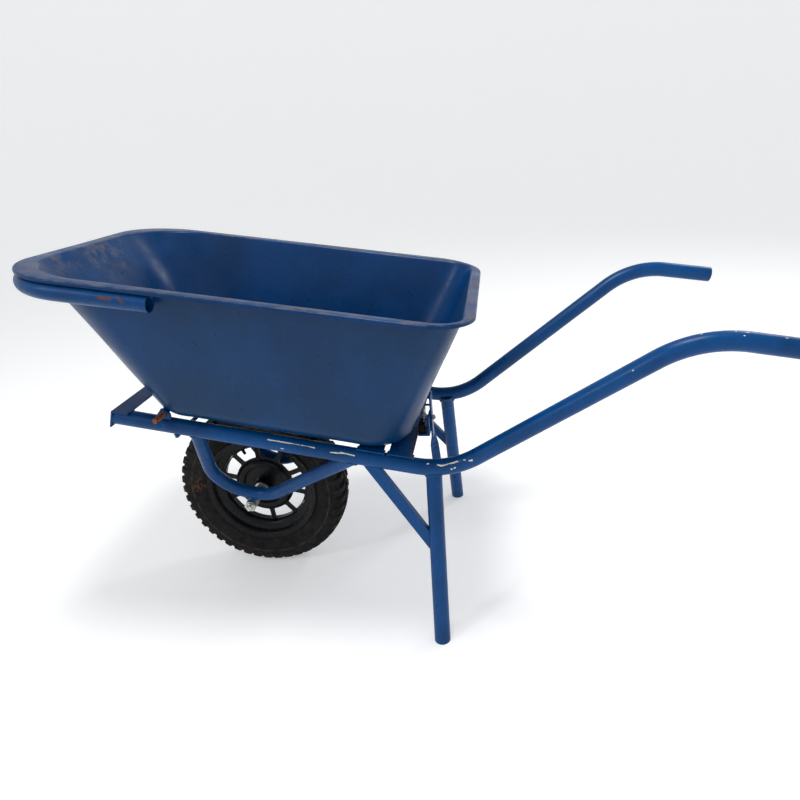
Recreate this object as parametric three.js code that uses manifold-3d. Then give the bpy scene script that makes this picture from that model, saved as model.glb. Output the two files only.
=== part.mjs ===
import * as THREE from 'three';
import { mergeVertices } from 'three/addons/utils/BufferGeometryUtils.js';
import Module from 'manifold-3d';

// Builder's wheelbarrow with a welded pipe frame, a sheet-steel tray that tips forward
// and one pneumatic wheel. Millimetres. +X points back to the operator, +Y to the
// operator's right, +Z up. The design origin is on the ground under the wheel axle.

const wasm = await Module();
wasm.setup();

// ---- Driving dimensions -------------------------------------------------------------

const GAP = 0.3;
const RUNNING_GAP = 0.1;

// 33.7 mm pipe of the side rails, handles and bumper; the legs are 33 mm, the forks 30 mm
const PIPE = { radius: 16.85, wall: 2.6 };
const LEG_PIPE = { radius: 16.5, wall: 2.3 };
const FORK_PIPE = { radius: 15, wall: 2.3 };
const PIPE_SIDES = 16;
const ROUND_SIDES = 24;
const WHEEL_SIDES = 32;

// The rails slope down to the back; RAIL_AXIS_Z is their axis height above the wheel axle
const RAIL_SLOPE = THREE.MathUtils.degToRad(11.27);
const RAIL_AXIS_Z = 440.5;
const RAIL_HALF_SPAN = 193;
const RAIL_FRONT = -222;
const FRONT_ANGLE = {
  front: -219.5, rear: -183.5, top: 18.1, lean: 5, drop: 37.5, thickness: 3.5, half: 210,
};
const LOWER_BEND = { corner: [476.3, 192.1, 345.6], radius: 160 };
const UPPER_BEND = { corner: [901.5, 280, 639.5], radius: 185 };
const GRIP_END = [1079.6, 287.5, 608.1];
const END_CAP = 3;

// Each fork hangs in a plane that holds the rail's axis and leans in to the wheel
const FORK_LEAN = THREE.MathUtils.degToRad(27.7);
const FORK_CORNERS = [[-44, 0], [-46, 371.5], [296.4, 0]];
const FORK_BEND_RADIUS = 89.7;

const LEG_TOP = [445.4, 188, 343.8];
const LEG_FOOT = [450.8, 285.5, 0];
const BRACE_TOP = [305, 193, 377.1];
const BRACE_FOOT = [448, 234.2, 181];
const BRACE = { low: -15, high: 9, flange: 11, thickness: 3 };

const AXLE_Z = 208.5;
const AXLE = { radius: 7.5, halfLength: 118 };
const SLEEVE = { inner: 65, outer: 95, radius: 13 };
const NUT_ACROSS_FLATS = 24;
const NUT_LENGTH = 12;
const WASHER = { radius: 12, length: 2.5 };

const TYRE_RADIUS = 208.5;
const HUB = { halfLength: 31, radius: 20.5 };
const BEARING = { width: 11, radius: 17.5 };
const WINDOW = { count: 10, inner: 73, outer: 102, halfSpoke: 6, firstSpoke: 22 };
const VALVE = { angle: 112, offset: -8.5, radius: 3.9 };

// The tray's rim lies in a plane that drops to the back; the floor is parallel to the rails
const SHEET = 1.5;
const RIM_PLANE = { z: 758.9, slope: -0.172 };
const RIM = { front: -327, rear: 542, half: 300, frontRadius: 130, rearRadius: 110 };
const WALL_TOP = { front: -300.5, rear: 521, half: 272.5, frontRadius: 140, rearRadius: 58 };
const FLOOR = { front: -123, rear: 387, half: 205, frontRadius: 78, rearRadius: 94 };
const FLOOR_HEIGHT = 22.6;
const FLOOR_FILLET = 44;
const RIM_FILLET = 8;
const RIM_LIP = 7;
const BUMPER = { front: -311, half: 287.7, end: -22, radius: 112, drop: 24.5 };

// Tipping pivot and latch
const PIVOT = { x: -103, z: 487.5, radius: 5.5, inner: 187.5, outer: 236 };
const LUG = { inner: 195, thickness: 5, halfWidth: 14, top: 10 };
const EAR = { inner: 188, thickness: 6.2, radius: 8.5, web: 40, webFront: 0 };
const LATCH_PIVOT = { y: -60, z: 406, radius: 3 };
const BRACKET = { front: 405.3, rear: 430.5, low: -93, high: -46, top: 417, thickness: 4 };
const LEVER = { front: 431.2, thickness: 4, halfWidth: 12 };
const HOOK = { inner: 50.5, outer: 58, reach: 21 };
const PADDLE = { top: 374, bottom: 282, overlap: 4, reach: 6, twist: 70, halfWidth: 9.5, tipTaper: 0.7 };
const CATCH_PIN = { y: -32, z: 442, radius: 4, end: 435.5 };
const SPRING = { x: 418.5, radius: 4.5, top: [-64, 437], bottom: [-88, 409] };

// ---- Materials ----------------------------------------------------------------------

const paint = (color, roughness, metalness) =>
  new THREE.MeshStandardMaterial({ color, roughness, metalness });
const BLUE = [0x07417c, 0.35, 0.1];
const TRAY_BLUE = [0x063a70, 0.4, 0.1];
const RUBBER = [0x161617, 0.85, 0];
const BLACK_PAINT = [0x121314, 0.5, 0.2];
const ZINC = [0xb4b6b2, 0.35, 0.9];
const RUST = [0x8a4a1e, 0.9, 0.2];

// ---- Helpers ------------------------------------------------------------------------

const vec = (p) => new THREE.Vector3(...p);
const sided = (p, side) => new THREE.Vector3(p[0], p[1] * side, p[2]);

/** A centreline of straight runs whose inner corners are rounded to the given radii. */
class BentLine extends THREE.Curve {
  constructor(corners, radii, arcSteps = 6) {
    super();
    this.stations = [];
    const last = corners.length - 1;
    const heading = (i) => corners[i + 1].clone().sub(corners[i]).normalize();
    this.addStation(corners[0], heading(0));
    for (let i = 1; i < last; i += 1) {
      this.addArc(corners[i], heading(i - 1), heading(i), radii[i - 1], arcSteps);
    }
    this.addStation(corners[last], heading(last - 1));
  }

  addStation(point, tangent) {
    this.stations.push({ point, tangent });
  }

  addArc(corner, before, after, radius, steps) {
    const turn = before.angleTo(after);
    const start = corner.clone().addScaledVector(before, -radius * Math.tan(turn / 2));
    const inward = after.clone().addScaledVector(before, -before.dot(after)).normalize();
    for (let k = 0; k <= steps; k += 1) {
      const angle = (turn * k) / steps;
      const point = start.clone().addScaledVector(before, radius * Math.sin(angle));
      point.addScaledVector(inward, radius * (1 - Math.cos(angle)));
      const tangent = before.clone().multiplyScalar(Math.cos(angle));
      this.addStation(point, tangent.addScaledVector(inward, Math.sin(angle)));
    }
  }

  station(t) {
    return this.stations[Math.round(t * (this.stations.length - 1))];
  }

  getPoint(t) {
    return this.station(t).point.clone();
  }

  getPointAt(t) {
    return this.getPoint(t);
  }

  getTangent(t) {
    return this.station(t).tangent.clone();
  }

  getTangentAt(t) {
    return this.getTangent(t);
  }
}

function disc(radius) {
  const shape = new THREE.Shape();
  shape.absarc(0, 0, radius, 0, 2 * Math.PI);
  return shape;
}

function annulus(radius, bore) {
  const shape = disc(radius);
  shape.holes.push(new THREE.Path().absarc(0, 0, bore, 0, 2 * Math.PI, true));
  return shape;
}

function sweep(shape, line) {
  const steps = line.stations.length - 1;
  return new THREE.ExtrudeGeometry(shape, { steps, extrudePath: line, curveSegments: PIPE_SIDES / 2 });
}

const pipe = (line, { radius, wall }) => sweep(annulus(radius, radius - wall), line);
const rod = (line, { radius }) => sweep(disc(radius), line);

/** Extrudes a shape drawn in x and z along y, from low to high. */
function extrudeAlongY(shape, low, high, curveSegments = ROUND_SIDES / 2) {
  const options = { depth: high - low, bevelEnabled: false, curveSegments };
  return new THREE.ExtrudeGeometry(shape, options).rotateX(Math.PI / 2).translate(0, high, 0);
}

/** Revolves a closed outline of [radius, y] points about the y axis. */
function revolve(outline, segments = ROUND_SIDES) {
  const points = [...outline, outline[0]].map(([radius, y]) => new THREE.Vector2(radius, y));
  return new THREE.LatheGeometry(points, segments);
}

/** Mirrors the outer and inner halves of a ring's section across y = 0 and revolves it. */
function symmetricRing(outer, inner, segments) {
  const mirrored = (half) => half.slice().reverse().map(([radius, y]) => [radius, -y]);
  return revolve([...mirrored(outer), ...outer, ...inner, ...mirrored(inner)], segments);
}

const ring = (radius, bore, low, high) =>
  revolve([[radius, low], [radius, high], [bore, high], [bore, low]]);

function polygon(points) {
  return new THREE.Shape(points.map(([x, y]) => new THREE.Vector2(x, y)));
}

/** Extrudes a shape drawn in y and z along x, from low to high. */
function extrudeAlongX(shape, low, high, curveSegments = ROUND_SIDES / 2) {
  const options = { depth: high - low, bevelEnabled: false, curveSegments };
  const axes = new THREE.Matrix4().makeBasis(vec([0, 1, 0]), vec([0, 0, 1]), vec([1, 0, 0]));
  return new THREE.ExtrudeGeometry(shape, options).applyMatrix4(axes).translate(low, 0, 0);
}

/** Closes a stack of equal rings with a fan of faces at each end. */
function closeRings(rings, firstCentre, lastCentre) {
  const around = rings[0].length;
  const end = rings.length * around;
  const faces = [];
  for (let k = 0; k < around; k += 1) {
    const next = (k + 1) % around;
    for (let a = k, b = next; a + around < end; a += around, b += around) {
      faces.push(a, b, b + around, a, b + around, a + around);
    }
    faces.push(end, next, k, end + 1, end - around + k, end - around + next);
  }
  const geometry = new THREE.BufferGeometry().setFromPoints([...rings.flat(), firstCentre, lastCentre]);
  geometry.setIndex(faces);
  geometry.computeVertexNormals();
  return geometry;
}

function toSolid(geometry) {
  const bare = geometry.clone();
  bare.deleteAttribute('normal');
  bare.deleteAttribute('uv');
  const merged = mergeVertices(bare, 1e-3);
  return new wasm.Manifold(new wasm.Mesh({
    numProp: 3,
    vertProperties: merged.attributes.position.array,
    triVerts: Uint32Array.from(merged.index.array),
  }));
}

function toGeometry(solid) {
  const { vertProperties, triVerts } = solid.getMesh();
  const result = new THREE.BufferGeometry();
  result.setAttribute('position', new THREE.BufferAttribute(vertProperties, 3));
  result.setIndex(new THREE.BufferAttribute(triVerts, 1));
  result.computeVertexNormals();
  return result;
}

function cut(geometry, ...tools) {
  return toGeometry(tools.reduce((solid, tool) => solid.subtract(toSolid(tool)), toSolid(geometry)));
}

function join(...geometries) {
  return toGeometry(geometries.map(toSolid).reduce((solid, other) => solid.add(other)));
}

const widened = ({ radius }) => ({ radius: radius + GAP });

function piece(name, geometry, look) {
  const mesh = new THREE.Mesh(geometry, paint(...look));
  mesh.name = name;
  return mesh;
}

/** A y range given for the right side, mirrored for the left. */
const span = (side, low, high) => (side > 0 ? [low, high] : [-high, -low]);

/** Builds one piece for each side: left is -Y, right is +Y. */
function bothSides(build) {
  return [build('left', -1), build('right', 1)];
}

// ---- Frame --------------------------------------------------------------------------

/** A world point given by its distance along the rails, its y and its height over them. */
function onRails(along, y, height) {
  const x = along * Math.cos(RAIL_SLOPE) + height * Math.sin(RAIL_SLOPE);
  const z = RAIL_AXIS_Z - along * Math.sin(RAIL_SLOPE) + height * Math.cos(RAIL_SLOPE);
  return new THREE.Vector3(x, y, z);
}

/** A point on the grip's axis, at a distance in from the very end of the handle. */
function gripPoint(side, distance) {
  const end = sided(GRIP_END, side);
  const inward = sided(UPPER_BEND.corner, side).sub(end).setLength(distance);
  return end.add(inward);
}

function railLine(side) {
  const front = onRails(RAIL_FRONT, side * RAIL_HALF_SPAN, 0);
  const bends = [LOWER_BEND, UPPER_BEND];
  const end = gripPoint(side, END_CAP + GAP);
  const corners = [front, ...bends.map((bend) => sided(bend.corner, side)), end];
  return new BentLine(corners, bends.map((bend) => bend.radius));
}

function forkLine(side) {
  const corners = FORK_CORNERS.map(([along, drop]) => {
    const y = side * (RAIL_HALF_SPAN - drop * Math.sin(FORK_LEAN));
    return onRails(along, y, -drop * Math.cos(FORK_LEAN));
  });
  return new BentLine(corners, [FORK_BEND_RADIUS], 12);
}

function legLine(side) {
  const top = sided(LEG_TOP, side);
  const foot = sided(LEG_FOOT, side);
  const beyond = foot.clone().add(foot.clone().sub(top).setLength(LEG_PIPE.radius));
  return new BentLine([top, beyond], []);
}

/** The leg's lower end is cut off level with the ground. */
function legGeometry(side) {
  const below = new THREE.BoxGeometry(100, 100, 100).translate(LEG_FOOT[0], side * LEG_FOOT[1], -50);
  return cut(pipe(legLine(side), LEG_PIPE), rod(railLine(side), widened(PIPE)), below);
}

/** An angle strip, wide across the view from the side, with a narrow flange on its lower edge. */
function braceGeometry(side) {
  const top = sided(BRACE_TOP, side);
  const run = sided(BRACE_FOOT, side).sub(top);
  const along = run.clone().normalize();
  const out = new THREE.Vector3(0, side, 0);
  out.addScaledVector(along, -out.dot(along)).normalize();
  const across = out.clone().cross(along);
  const { low, high, flange, thickness } = BRACE;
  const outline = [[low, thickness], [low, -flange], [low + thickness, -flange], [low + thickness, 0],
    [high, 0], [high, thickness]];
  const section = polygon(outline.map(([x, y]) => [x * side, y]));
  const strip = new THREE.ExtrudeGeometry(section, { depth: run.length(), bevelEnabled: false });
  strip.applyMatrix4(new THREE.Matrix4().makeBasis(across, out, along).setPosition(top));
  return cut(strip, rod(railLine(side), widened(PIPE)), rod(legLine(side), widened(LEG_PIPE)));
}

/** Section of the front cross angle: a flange over the rails' ends and one leaning down before them. */
function frontAngle() {
  const { front, rear, top, lean, drop, thickness } = FRONT_ANGLE;
  return polygon([[front, top], [front - lean, top - drop], [front - lean + thickness, top - drop],
    [front + thickness, top - thickness], [rear, top - thickness], [rear, top]]);
}

/** What the front angle takes off the rails' ends, with a gap to its inner faces. */
function frontNotch() {
  const { front, rear, top, lean, drop, thickness } = FRONT_ANGLE;
  const under = top - thickness - GAP;
  const inner = front + thickness + GAP;
  const low = -60;
  const foot = inner - ((under - low) * lean) / drop;
  const shape = polygon([[front - 60, low], [foot, low], [inner, under], [rear + GAP, under],
    [rear + GAP, 60], [front - 60, 60]]);
  return extrudeAlongY(shape, -300, 300).rotateY(RAIL_SLOPE).translate(0, 0, RAIL_AXIS_Z);
}

function crossMembers() {
  const top = PIPE.radius + GAP;
  const rectangle = (front, rear, low, high) =>
    polygon([[front, low], [rear, low], [rear, high], [front, high]]);
  const members = new THREE.Group();
  members.add(
    piece('front_cross_angle', extrudeAlongY(frontAngle(), -FRONT_ANGLE.half, FRONT_ANGLE.half), BLUE),
    piece('mid_cross_bar', extrudeAlongY(rectangle(-87, -81, -top - 8, -top), -199, 199), BLUE),
    piece('tray_support_bar', extrudeAlongY(rectangle(298, 350, top, top + 3), -200, 200), BLUE),
    piece('rear_cross_plate', extrudeAlongY(rectangle(360.3, 409.2, top, top + 3), -198, 198), BLUE),
  );
  members.position.z = RAIL_AXIS_Z;
  members.rotation.y = RAIL_SLOPE;
  return members;
}

function frame() {
  const group = new THREE.Group();
  group.add(...bothSides((name, side) => {
    const rail = cut(pipe(railLine(side), PIPE), frontNotch());
    return piece(`side_rail_${name}`, rail, BLUE);
  }));
  group.add(...bothSides((name, side) => {
    const cap = new BentLine([gripPoint(side, END_CAP), gripPoint(side, 0)], []);
    return piece(`handle_end_${name}`, rod(cap, PIPE), BLUE);
  }));
  group.add(...bothSides((name, side) => {
    const fork = cut(pipe(forkLine(side), FORK_PIPE), rod(railLine(side), widened(PIPE)));
    return piece(`fork_${name}`, fork, BLUE);
  }));
  group.add(...bothSides((name, side) => piece(`leg_${name}`, legGeometry(side), BLUE)));
  group.add(...bothSides((name, side) => piece(`leg_brace_${name}`, braceGeometry(side), BLUE)));
  group.add(crossMembers());
  return group;
}

// ---- Axle, held in a sleeve under each fork -------------------------------------------

function hexNut(acrossFlats, bore, low, high) {
  const corner = acrossFlats / Math.sqrt(3);
  const corners = Array.from({ length: 6 }, (_, k) => (k * Math.PI) / 3);
  const shape = polygon(corners.map((angle) => [corner * Math.cos(angle), corner * Math.sin(angle)]));
  shape.holes.push(new THREE.Path().absarc(0, 0, bore, 0, 2 * Math.PI, true));
  return extrudeAlongY(shape, low, high, PIPE_SIDES / 2);
}

function axleSet() {
  const group = new THREE.Group();
  const bore = AXLE.radius + GAP;
  const lockNut = HUB.halfLength + 0.4;
  const washer = SLEEVE.outer + GAP;
  const nut = washer + WASHER.length + GAP;
  const outline = [[0, -AXLE.halfLength], [AXLE.radius, -AXLE.halfLength],
    [AXLE.radius, AXLE.halfLength], [0, AXLE.halfLength]];
  const shaft = outline.map(([radius, y]) => new THREE.Vector2(radius, y));
  group.add(piece('axle', new THREE.LatheGeometry(shaft, ROUND_SIDES), ZINC));
  group.add(...bothSides((name, side) => piece(`axle_lock_nut_${name}`,
    hexNut(NUT_ACROSS_FLATS, bore, ...span(side, lockNut, lockNut + NUT_LENGTH - 2)), ZINC)));
  group.add(...bothSides((name, side) => piece(`axle_washer_${name}`,
    ring(WASHER.radius, bore, ...span(side, washer, washer + WASHER.length)), ZINC)));
  group.add(...bothSides((name, side) => piece(`axle_nut_${name}`,
    hexNut(NUT_ACROSS_FLATS, bore, ...span(side, nut, nut + NUT_LENGTH)), ZINC)));
  group.add(...bothSides((name, side) => {
    const fork = rod(forkLine(side), widened(FORK_PIPE)).translate(0, 0, -AXLE_Z);
    const sleeve = ring(SLEEVE.radius, bore, ...span(side, SLEEVE.inner, SLEEVE.outer));
    return piece(`axle_sleeve_${name}`, cut(sleeve, fork), BLUE);
  }));
  group.position.z = AXLE_Z;
  return group;
}

// ---- Wheel ----------------------------------------------------------------------------

function tyreGeometry() {
  const outer = [[TYRE_RADIUS, 12], [206, 30], [194, 41.5], [172, 43.5], [150, 41.2], [139, 34.8],
    [127.6, 30]];
  const inner = [[127.6, 20], [133, 19.5], [138, 28.5], [155, 38], [185, 38.5], [199, 26]];
  return symmetricRing(outer, inner, WHEEL_SIDES);
}

function rimGeometry() {
  const outer = [[108.5, 12], [126, 19], [127, 30.5], [136, 34], [138, 37]];
  const inner = [[134.5, 37.2], [125, 33.5], [123.5, 20.8], [106, 13.6]];
  return cut(symmetricRing(outer, inner, WHEEL_SIDES), valveBore(VALVE.radius + 0.5));
}

function valveBore(radius) {
  const length = 30;
  const bore = new THREE.CylinderGeometry(radius, radius, length, 12);
  return placeAtValve(bore, 108);
}

function placeAtValve(geometry, distance) {
  const turn = THREE.MathUtils.degToRad(VALVE.angle - 90);
  return geometry.rotateX(Math.PI / 2).translate(0, VALVE.offset, distance).rotateY(-turn);
}

/** A hollow rubber ring that fills the tyre, open only where the valve stem enters. */
function innerTubeGeometry() {
  const section = [[197, 10], [193, 29], [172, 37], [150, 33], [139, 23.5], [130.5, 15], [112, 8]];
  const middle = 158;
  const hollow = section.map(([radius, y]) => [middle + (radius - middle) * 0.92, y * 0.9]);
  const closed = (half) => symmetricRing(half, half.slice(-1).map(([radius]) => [radius, 0]), 20);
  return cut(closed(section), closed(hollow), valveBore(VALVE.radius + 0.3));
}

function windowShape(index) {
  const start = THREE.MathUtils.degToRad(WINDOW.firstSpoke + (360 / WINDOW.count) * index);
  const end = start + (2 * Math.PI) / WINDOW.count;
  const inner = Math.asin(WINDOW.halfSpoke / WINDOW.inner);
  const outer = Math.asin(WINDOW.halfSpoke / WINDOW.outer);
  const shape = new THREE.Shape();
  shape.absarc(0, 0, WINDOW.outer, start + outer, end - outer);
  shape.absarc(0, 0, WINDOW.inner, end - inner, start + inner, true);
  return shape;
}

/** Pressed disc: a lip welded inside the rim, flat spokes and a raised ring round the hub. */
function discGeometry() {
  const section = [[105, -4], [105, 11], [102.5, 11], [102.5, -1], [68, -1], [62, -9], [54, -9],
    [48, -3], [HUB.radius + GAP, -3], [HUB.radius + GAP, -6], [49.5, -6], [53, -12], [63.5, -12],
    [69.5, -4]];
  const windows = Array.from({ length: WINDOW.count }, (_, k) => extrudeAlongY(windowShape(k), -8, 2, 2));
  return cut(revolve(section, 30), ...windows);
}

function hubGeometry() {
  const seat = HUB.halfLength - BEARING.width - 2 * GAP;
  const bore = BEARING.radius + GAP;
  return symmetricRing([[HUB.radius, HUB.halfLength]], [[bore, HUB.halfLength], [bore, seat], [15.5, seat]]);
}

function valveStem() {
  const length = 20;
  const stem = new THREE.CylinderGeometry(VALVE.radius, VALVE.radius, length, 12);
  return placeAtValve(stem, 112 - length / 2);
}

function wheel() {
  const group = new THREE.Group();
  const bearingEnd = HUB.halfLength - GAP;
  const bearingBore = 7.66;
  group.add(
    piece('tyre', tyreGeometry(), RUBBER),
    piece('inner_tube', innerTubeGeometry(), RUBBER),
    piece('wheel_rim', rimGeometry(), BLACK_PAINT),
    piece('wheel_disc', discGeometry(), BLACK_PAINT),
    piece('wheel_hub', hubGeometry(), BLACK_PAINT),
    piece('bearing_spacer', ring(11, AXLE.radius + 0.4, -19.1, 19.1), ZINC),
    piece('valve_stem', valveStem(), RUBBER),
  );
  group.add(...bothSides((name, side) => {
    const ends = [side * (bearingEnd - BEARING.width), side * bearingEnd].sort((a, b) => a - b);
    return piece(`bearing_${name}`, ring(BEARING.radius, bearingBore, ...ends), ZINC);
  }));
  group.position.z = AXLE_Z;
  return group;
}

// ---- Tray -----------------------------------------------------------------------------

const rimHeight = (x) => RIM_PLANE.z + RIM_PLANE.slope * x;
const floorHeight = (x) => RAIL_AXIS_Z + FLOOR_HEIGHT / Math.cos(RAIL_SLOPE) - x * Math.tan(RAIL_SLOPE);

/** Points round a rounded rectangle, counted the same way on every contour of the tray. */
function contour({ front, rear, half, frontRadius, rearRadius }, height, corner = 6) {
  const corners = [
    [rear - rearRadius, half - rearRadius, rearRadius, 0],
    [front + frontRadius, half - frontRadius, frontRadius, 1],
    [front + frontRadius, frontRadius - half, frontRadius, 2],
    [rear - rearRadius, rearRadius - half, rearRadius, 3],
  ];
  const points = [];
  for (const [x, y, radius, quarter] of corners) {
    for (let k = 0; k <= corner; k += 1) {
      const angle = (quarter + k / corner) * (Math.PI / 2);
      const px = x + radius * Math.cos(angle);
      points.push(new THREE.Vector3(px, y + radius * Math.sin(angle), height(px)));
    }
  }
  return points;
}

/** Arc of the given radius that rounds the corner between two directions, as steps + 1 points. */
function fillet(corner, toFirst, toLast, radius, steps) {
  const half = toFirst.angleTo(toLast) / 2;
  const centre = corner.clone().add(toFirst.clone().add(toLast).setLength(radius / Math.sin(half)));
  const reach = radius / Math.tan(half);
  const from = corner.clone().addScaledVector(toFirst, reach).sub(centre);
  const to = corner.clone().addScaledVector(toLast, reach).sub(centre);
  const turn = from.angleTo(to);
  const point = (angle) => centre.clone()
    .addScaledVector(from, Math.sin(turn - angle) / Math.sin(turn))
    .addScaledVector(to, Math.sin(angle) / Math.sin(turn));
  return Array.from({ length: steps + 1 }, (_, k) => point((turn * k) / steps));
}

/** Rings of the tray's upper surface, from the floor's edge up the walls to the rolled lip. */
function upperRings() {
  const floor = contour(FLOOR, floorHeight);
  const top = contour(WALL_TOP, rimHeight);
  const rim = contour(RIM, rimHeight);
  const down = new THREE.Vector3(0, 0, -1);
  const lines = floor.map((foot, k) => {
    const inward = contour({ ...FLOOR, front: FLOOR.front + 60, rear: FLOOR.rear - 60,
      half: FLOOR.half - 60, frontRadius: 18, rearRadius: 34 }, floorHeight)[k].sub(foot).normalize();
    const wall = top[k].clone().sub(foot).normalize();
    const outward = rim[k].clone().sub(top[k]).normalize();
    const lower = fillet(foot, inward, wall, FLOOR_FILLET, 4);
    const upper = fillet(top[k], wall.clone().negate(), outward, RIM_FILLET, 3);
    const lip = fillet(rim[k], outward.clone().negate(), down, 4, 2);
    const edge = rim[k].clone().addScaledVector(down, RIM_LIP);
    return [...lower, ...upper, ...lip, edge];
  });
  return lines[0].map((_, ringIndex) => lines.map((line) => line[ringIndex]));
}

/** Normals of a surface of rings, one for each point, from the runs along and across it. */
function ringNormals(rings) {
  return rings.map((ringPoints, i) => ringPoints.map((_, k) => {
    const count = ringPoints.length;
    const above = rings[Math.min(i + 1, rings.length - 1)][k];
    const below = rings[Math.max(i - 1, 0)][k];
    const run = ringPoints[(k + 1) % count].clone().sub(ringPoints[(k + count - 1) % count]);
    return run.cross(above.clone().sub(below)).normalize();
  }));
}

/** The rings of the upper surface moved down and outward through the sheet. */
function underRings(upper, distance) {
  const normals = ringNormals(upper);
  return upper.map((points, i) => points.map((p, k) => p.clone().addScaledVector(normals[i][k], distance)));
}

function floorCentre(drop) {
  const middle = (FLOOR.front + FLOOR.rear) / 2;
  const down = new THREE.Vector3(-Math.sin(RAIL_SLOPE), 0, -Math.cos(RAIL_SLOPE));
  return new THREE.Vector3(middle, 0, floorHeight(middle)).addScaledVector(down, drop);
}

function trayShell() {
  const upper = upperRings();
  const under = underRings(upper, SHEET);
  return closeRings([...under, ...upper.slice().reverse()], floorCentre(SHEET), floorCentre(0));
}

/** Everything inside the tray's outer faces, for cutting what is welded on from outside. */
function trayBulk() {
  const under = underRings(upperRings(), SHEET + GAP);
  const lid = new THREE.Vector3(100, 0, rimHeight(100));
  return closeRings(under.slice(0, -4), floorCentre(SHEET + GAP), lid);
}

function bumperLine() {
  const under = (x, y) => new THREE.Vector3(x, y, rimHeight(x) - BUMPER.drop);
  const { front, half, end, radius } = BUMPER;
  const corners = [under(end, -half), under(front, -half), under(front, half), under(end, half)];
  return new BentLine(corners, [radius, radius]);
}

/** A short sleeve on the pivot pin with a web that reaches up to the tray's corner. */
function hingeEar(side) {
  const { x, z } = PIVOT;
  const shape = new THREE.Shape();
  shape.absarc(x, z, EAR.radius, -Math.PI, 0);
  shape.lineTo(x + EAR.radius, z + EAR.web);
  shape.lineTo(x + EAR.webFront, z + EAR.web);
  shape.lineTo(x + EAR.webFront, z + EAR.radius);
  shape.lineTo(x - EAR.radius, z + EAR.radius);
  shape.holes.push(new THREE.Path().absarc(x, z, PIVOT.radius + RUNNING_GAP, 0, 2 * Math.PI, true));
  const ends = span(side, EAR.inner, EAR.inner + EAR.thickness);
  return cut(extrudeAlongY(shape, ...ends), trayBulk(), rod(railLine(side), widened(PIPE)));
}

/** A round pin welded to the rear wall, which the latch lever hooks over. */
function catchPin() {
  const shape = disc(CATCH_PIN.radius).getPoints(PIPE_SIDES / 2);
  const moved = polygon(shape.map((p) => [p.x + CATCH_PIN.y, p.y + CATCH_PIN.z]));
  return cut(extrudeAlongX(moved, FLOOR.rear, CATCH_PIN.end), trayBulk());
}

function tray() {
  const group = new THREE.Group();
  group.add(piece('tray_shell', trayShell(), TRAY_BLUE));
  group.add(piece('bumper_tube', pipe(bumperLine(), PIPE), BLUE));
  group.add(...bothSides((name, side) => piece(`tray_hinge_ear_${name}`, hingeEar(side), BLUE)));
  group.add(piece('tray_catch_pin', catchPin(), BLUE));
  return group;
}

// ---- Tipping pivot on the rails -------------------------------------------------------

function pivotLug(side) {
  const { x, z } = PIVOT;
  const low = z - 16;
  const { halfWidth, top } = LUG;
  const shape = polygon([[x - halfWidth, low], [x + halfWidth, low], [x + halfWidth, z],
    [x + 5, z + top], [x - 5, z + top], [x - halfWidth, z]]);
  shape.holes.push(new THREE.Path().absarc(x, z, PIVOT.radius + GAP, 0, 2 * Math.PI, true));
  const plate = extrudeAlongY(shape, ...span(side, LUG.inner, LUG.inner + LUG.thickness));
  return cut(plate, rod(railLine(side), widened(PIPE)));
}

function pivotPin(side) {
  const pin = extrudeAlongY(disc(PIVOT.radius), ...span(side, PIVOT.inner, PIVOT.outer));
  return pin.translate(PIVOT.x, 0, PIVOT.z);
}

function tippingPivot() {
  const group = new THREE.Group();
  group.add(...bothSides((name, side) => piece(`pivot_lug_${name}`, pivotLug(side), BLUE)));
  group.add(...bothSides((name, side) => piece(`pivot_pin_${name}`, pivotPin(side), RUST)));
  return group;
}

// ---- Latch behind the tray --------------------------------------------------------------

/** A round hole or a hexagon about the latch's bolt, in y and z. */
function onLatchAxis(radius, sides, Kind = THREE.Shape) {
  const points = Array.from({ length: sides }, (_, k) => {
    const angle = (2 * Math.PI * k) / sides;
    const across = LATCH_PIVOT.y + radius * Math.cos(angle);
    return new THREE.Vector2(across, LATCH_PIVOT.z + radius * Math.sin(angle));
  });
  return new Kind(points);
}

/** A bent plate: a tab that carries on from the rear cross plate and an upright for the bolt. */
function latchBracket() {
  const { front, rear, thickness } = BRACKET;
  const tab = RAIL_AXIS_Z + (PIPE.radius + GAP + 3) / Math.cos(RAIL_SLOPE) - front * Math.tan(RAIL_SLOPE);
  const inner = rear - thickness;
  const shape = polygon([[front, tab - thickness], [rear, tab - thickness], [rear, BRACKET.top],
    [inner, BRACKET.top], [inner, tab], [front, tab]]);
  const plate = extrudeAlongY(shape, BRACKET.low, BRACKET.high);
  return cut(plate, extrudeAlongX(onLatchAxis(LATCH_PIVOT.radius + GAP, 16), front, rear + 10));
}

/** The flat strap of the lever: its top is a hook with faces curved about the bolt. */
function leverStrap() {
  const { y, z } = LATCH_PIVOT;
  const { front, thickness, halfWidth } = LEVER;
  const angleAt = (radius, offset) => Math.PI / 2 - Math.asin(offset / radius);
  const tip = angleAt(HOOK.inner, HOOK.reach);
  const shape = new THREE.Shape();
  shape.moveTo(y - halfWidth, PADDLE.top - PADDLE.overlap);
  shape.lineTo(y + halfWidth, PADDLE.top - PADDLE.overlap);
  shape.absarc(y, z, HOOK.inner, angleAt(HOOK.inner, halfWidth), tip, true);
  shape.absarc(y, z, HOOK.outer, tip, angleAt(HOOK.outer, -halfWidth));
  shape.holes.push(onLatchAxis(LATCH_PIVOT.radius + RUNNING_GAP, ROUND_SIDES, THREE.Path));
  return extrudeAlongX(shape, front, front + thickness, 3);
}

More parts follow.
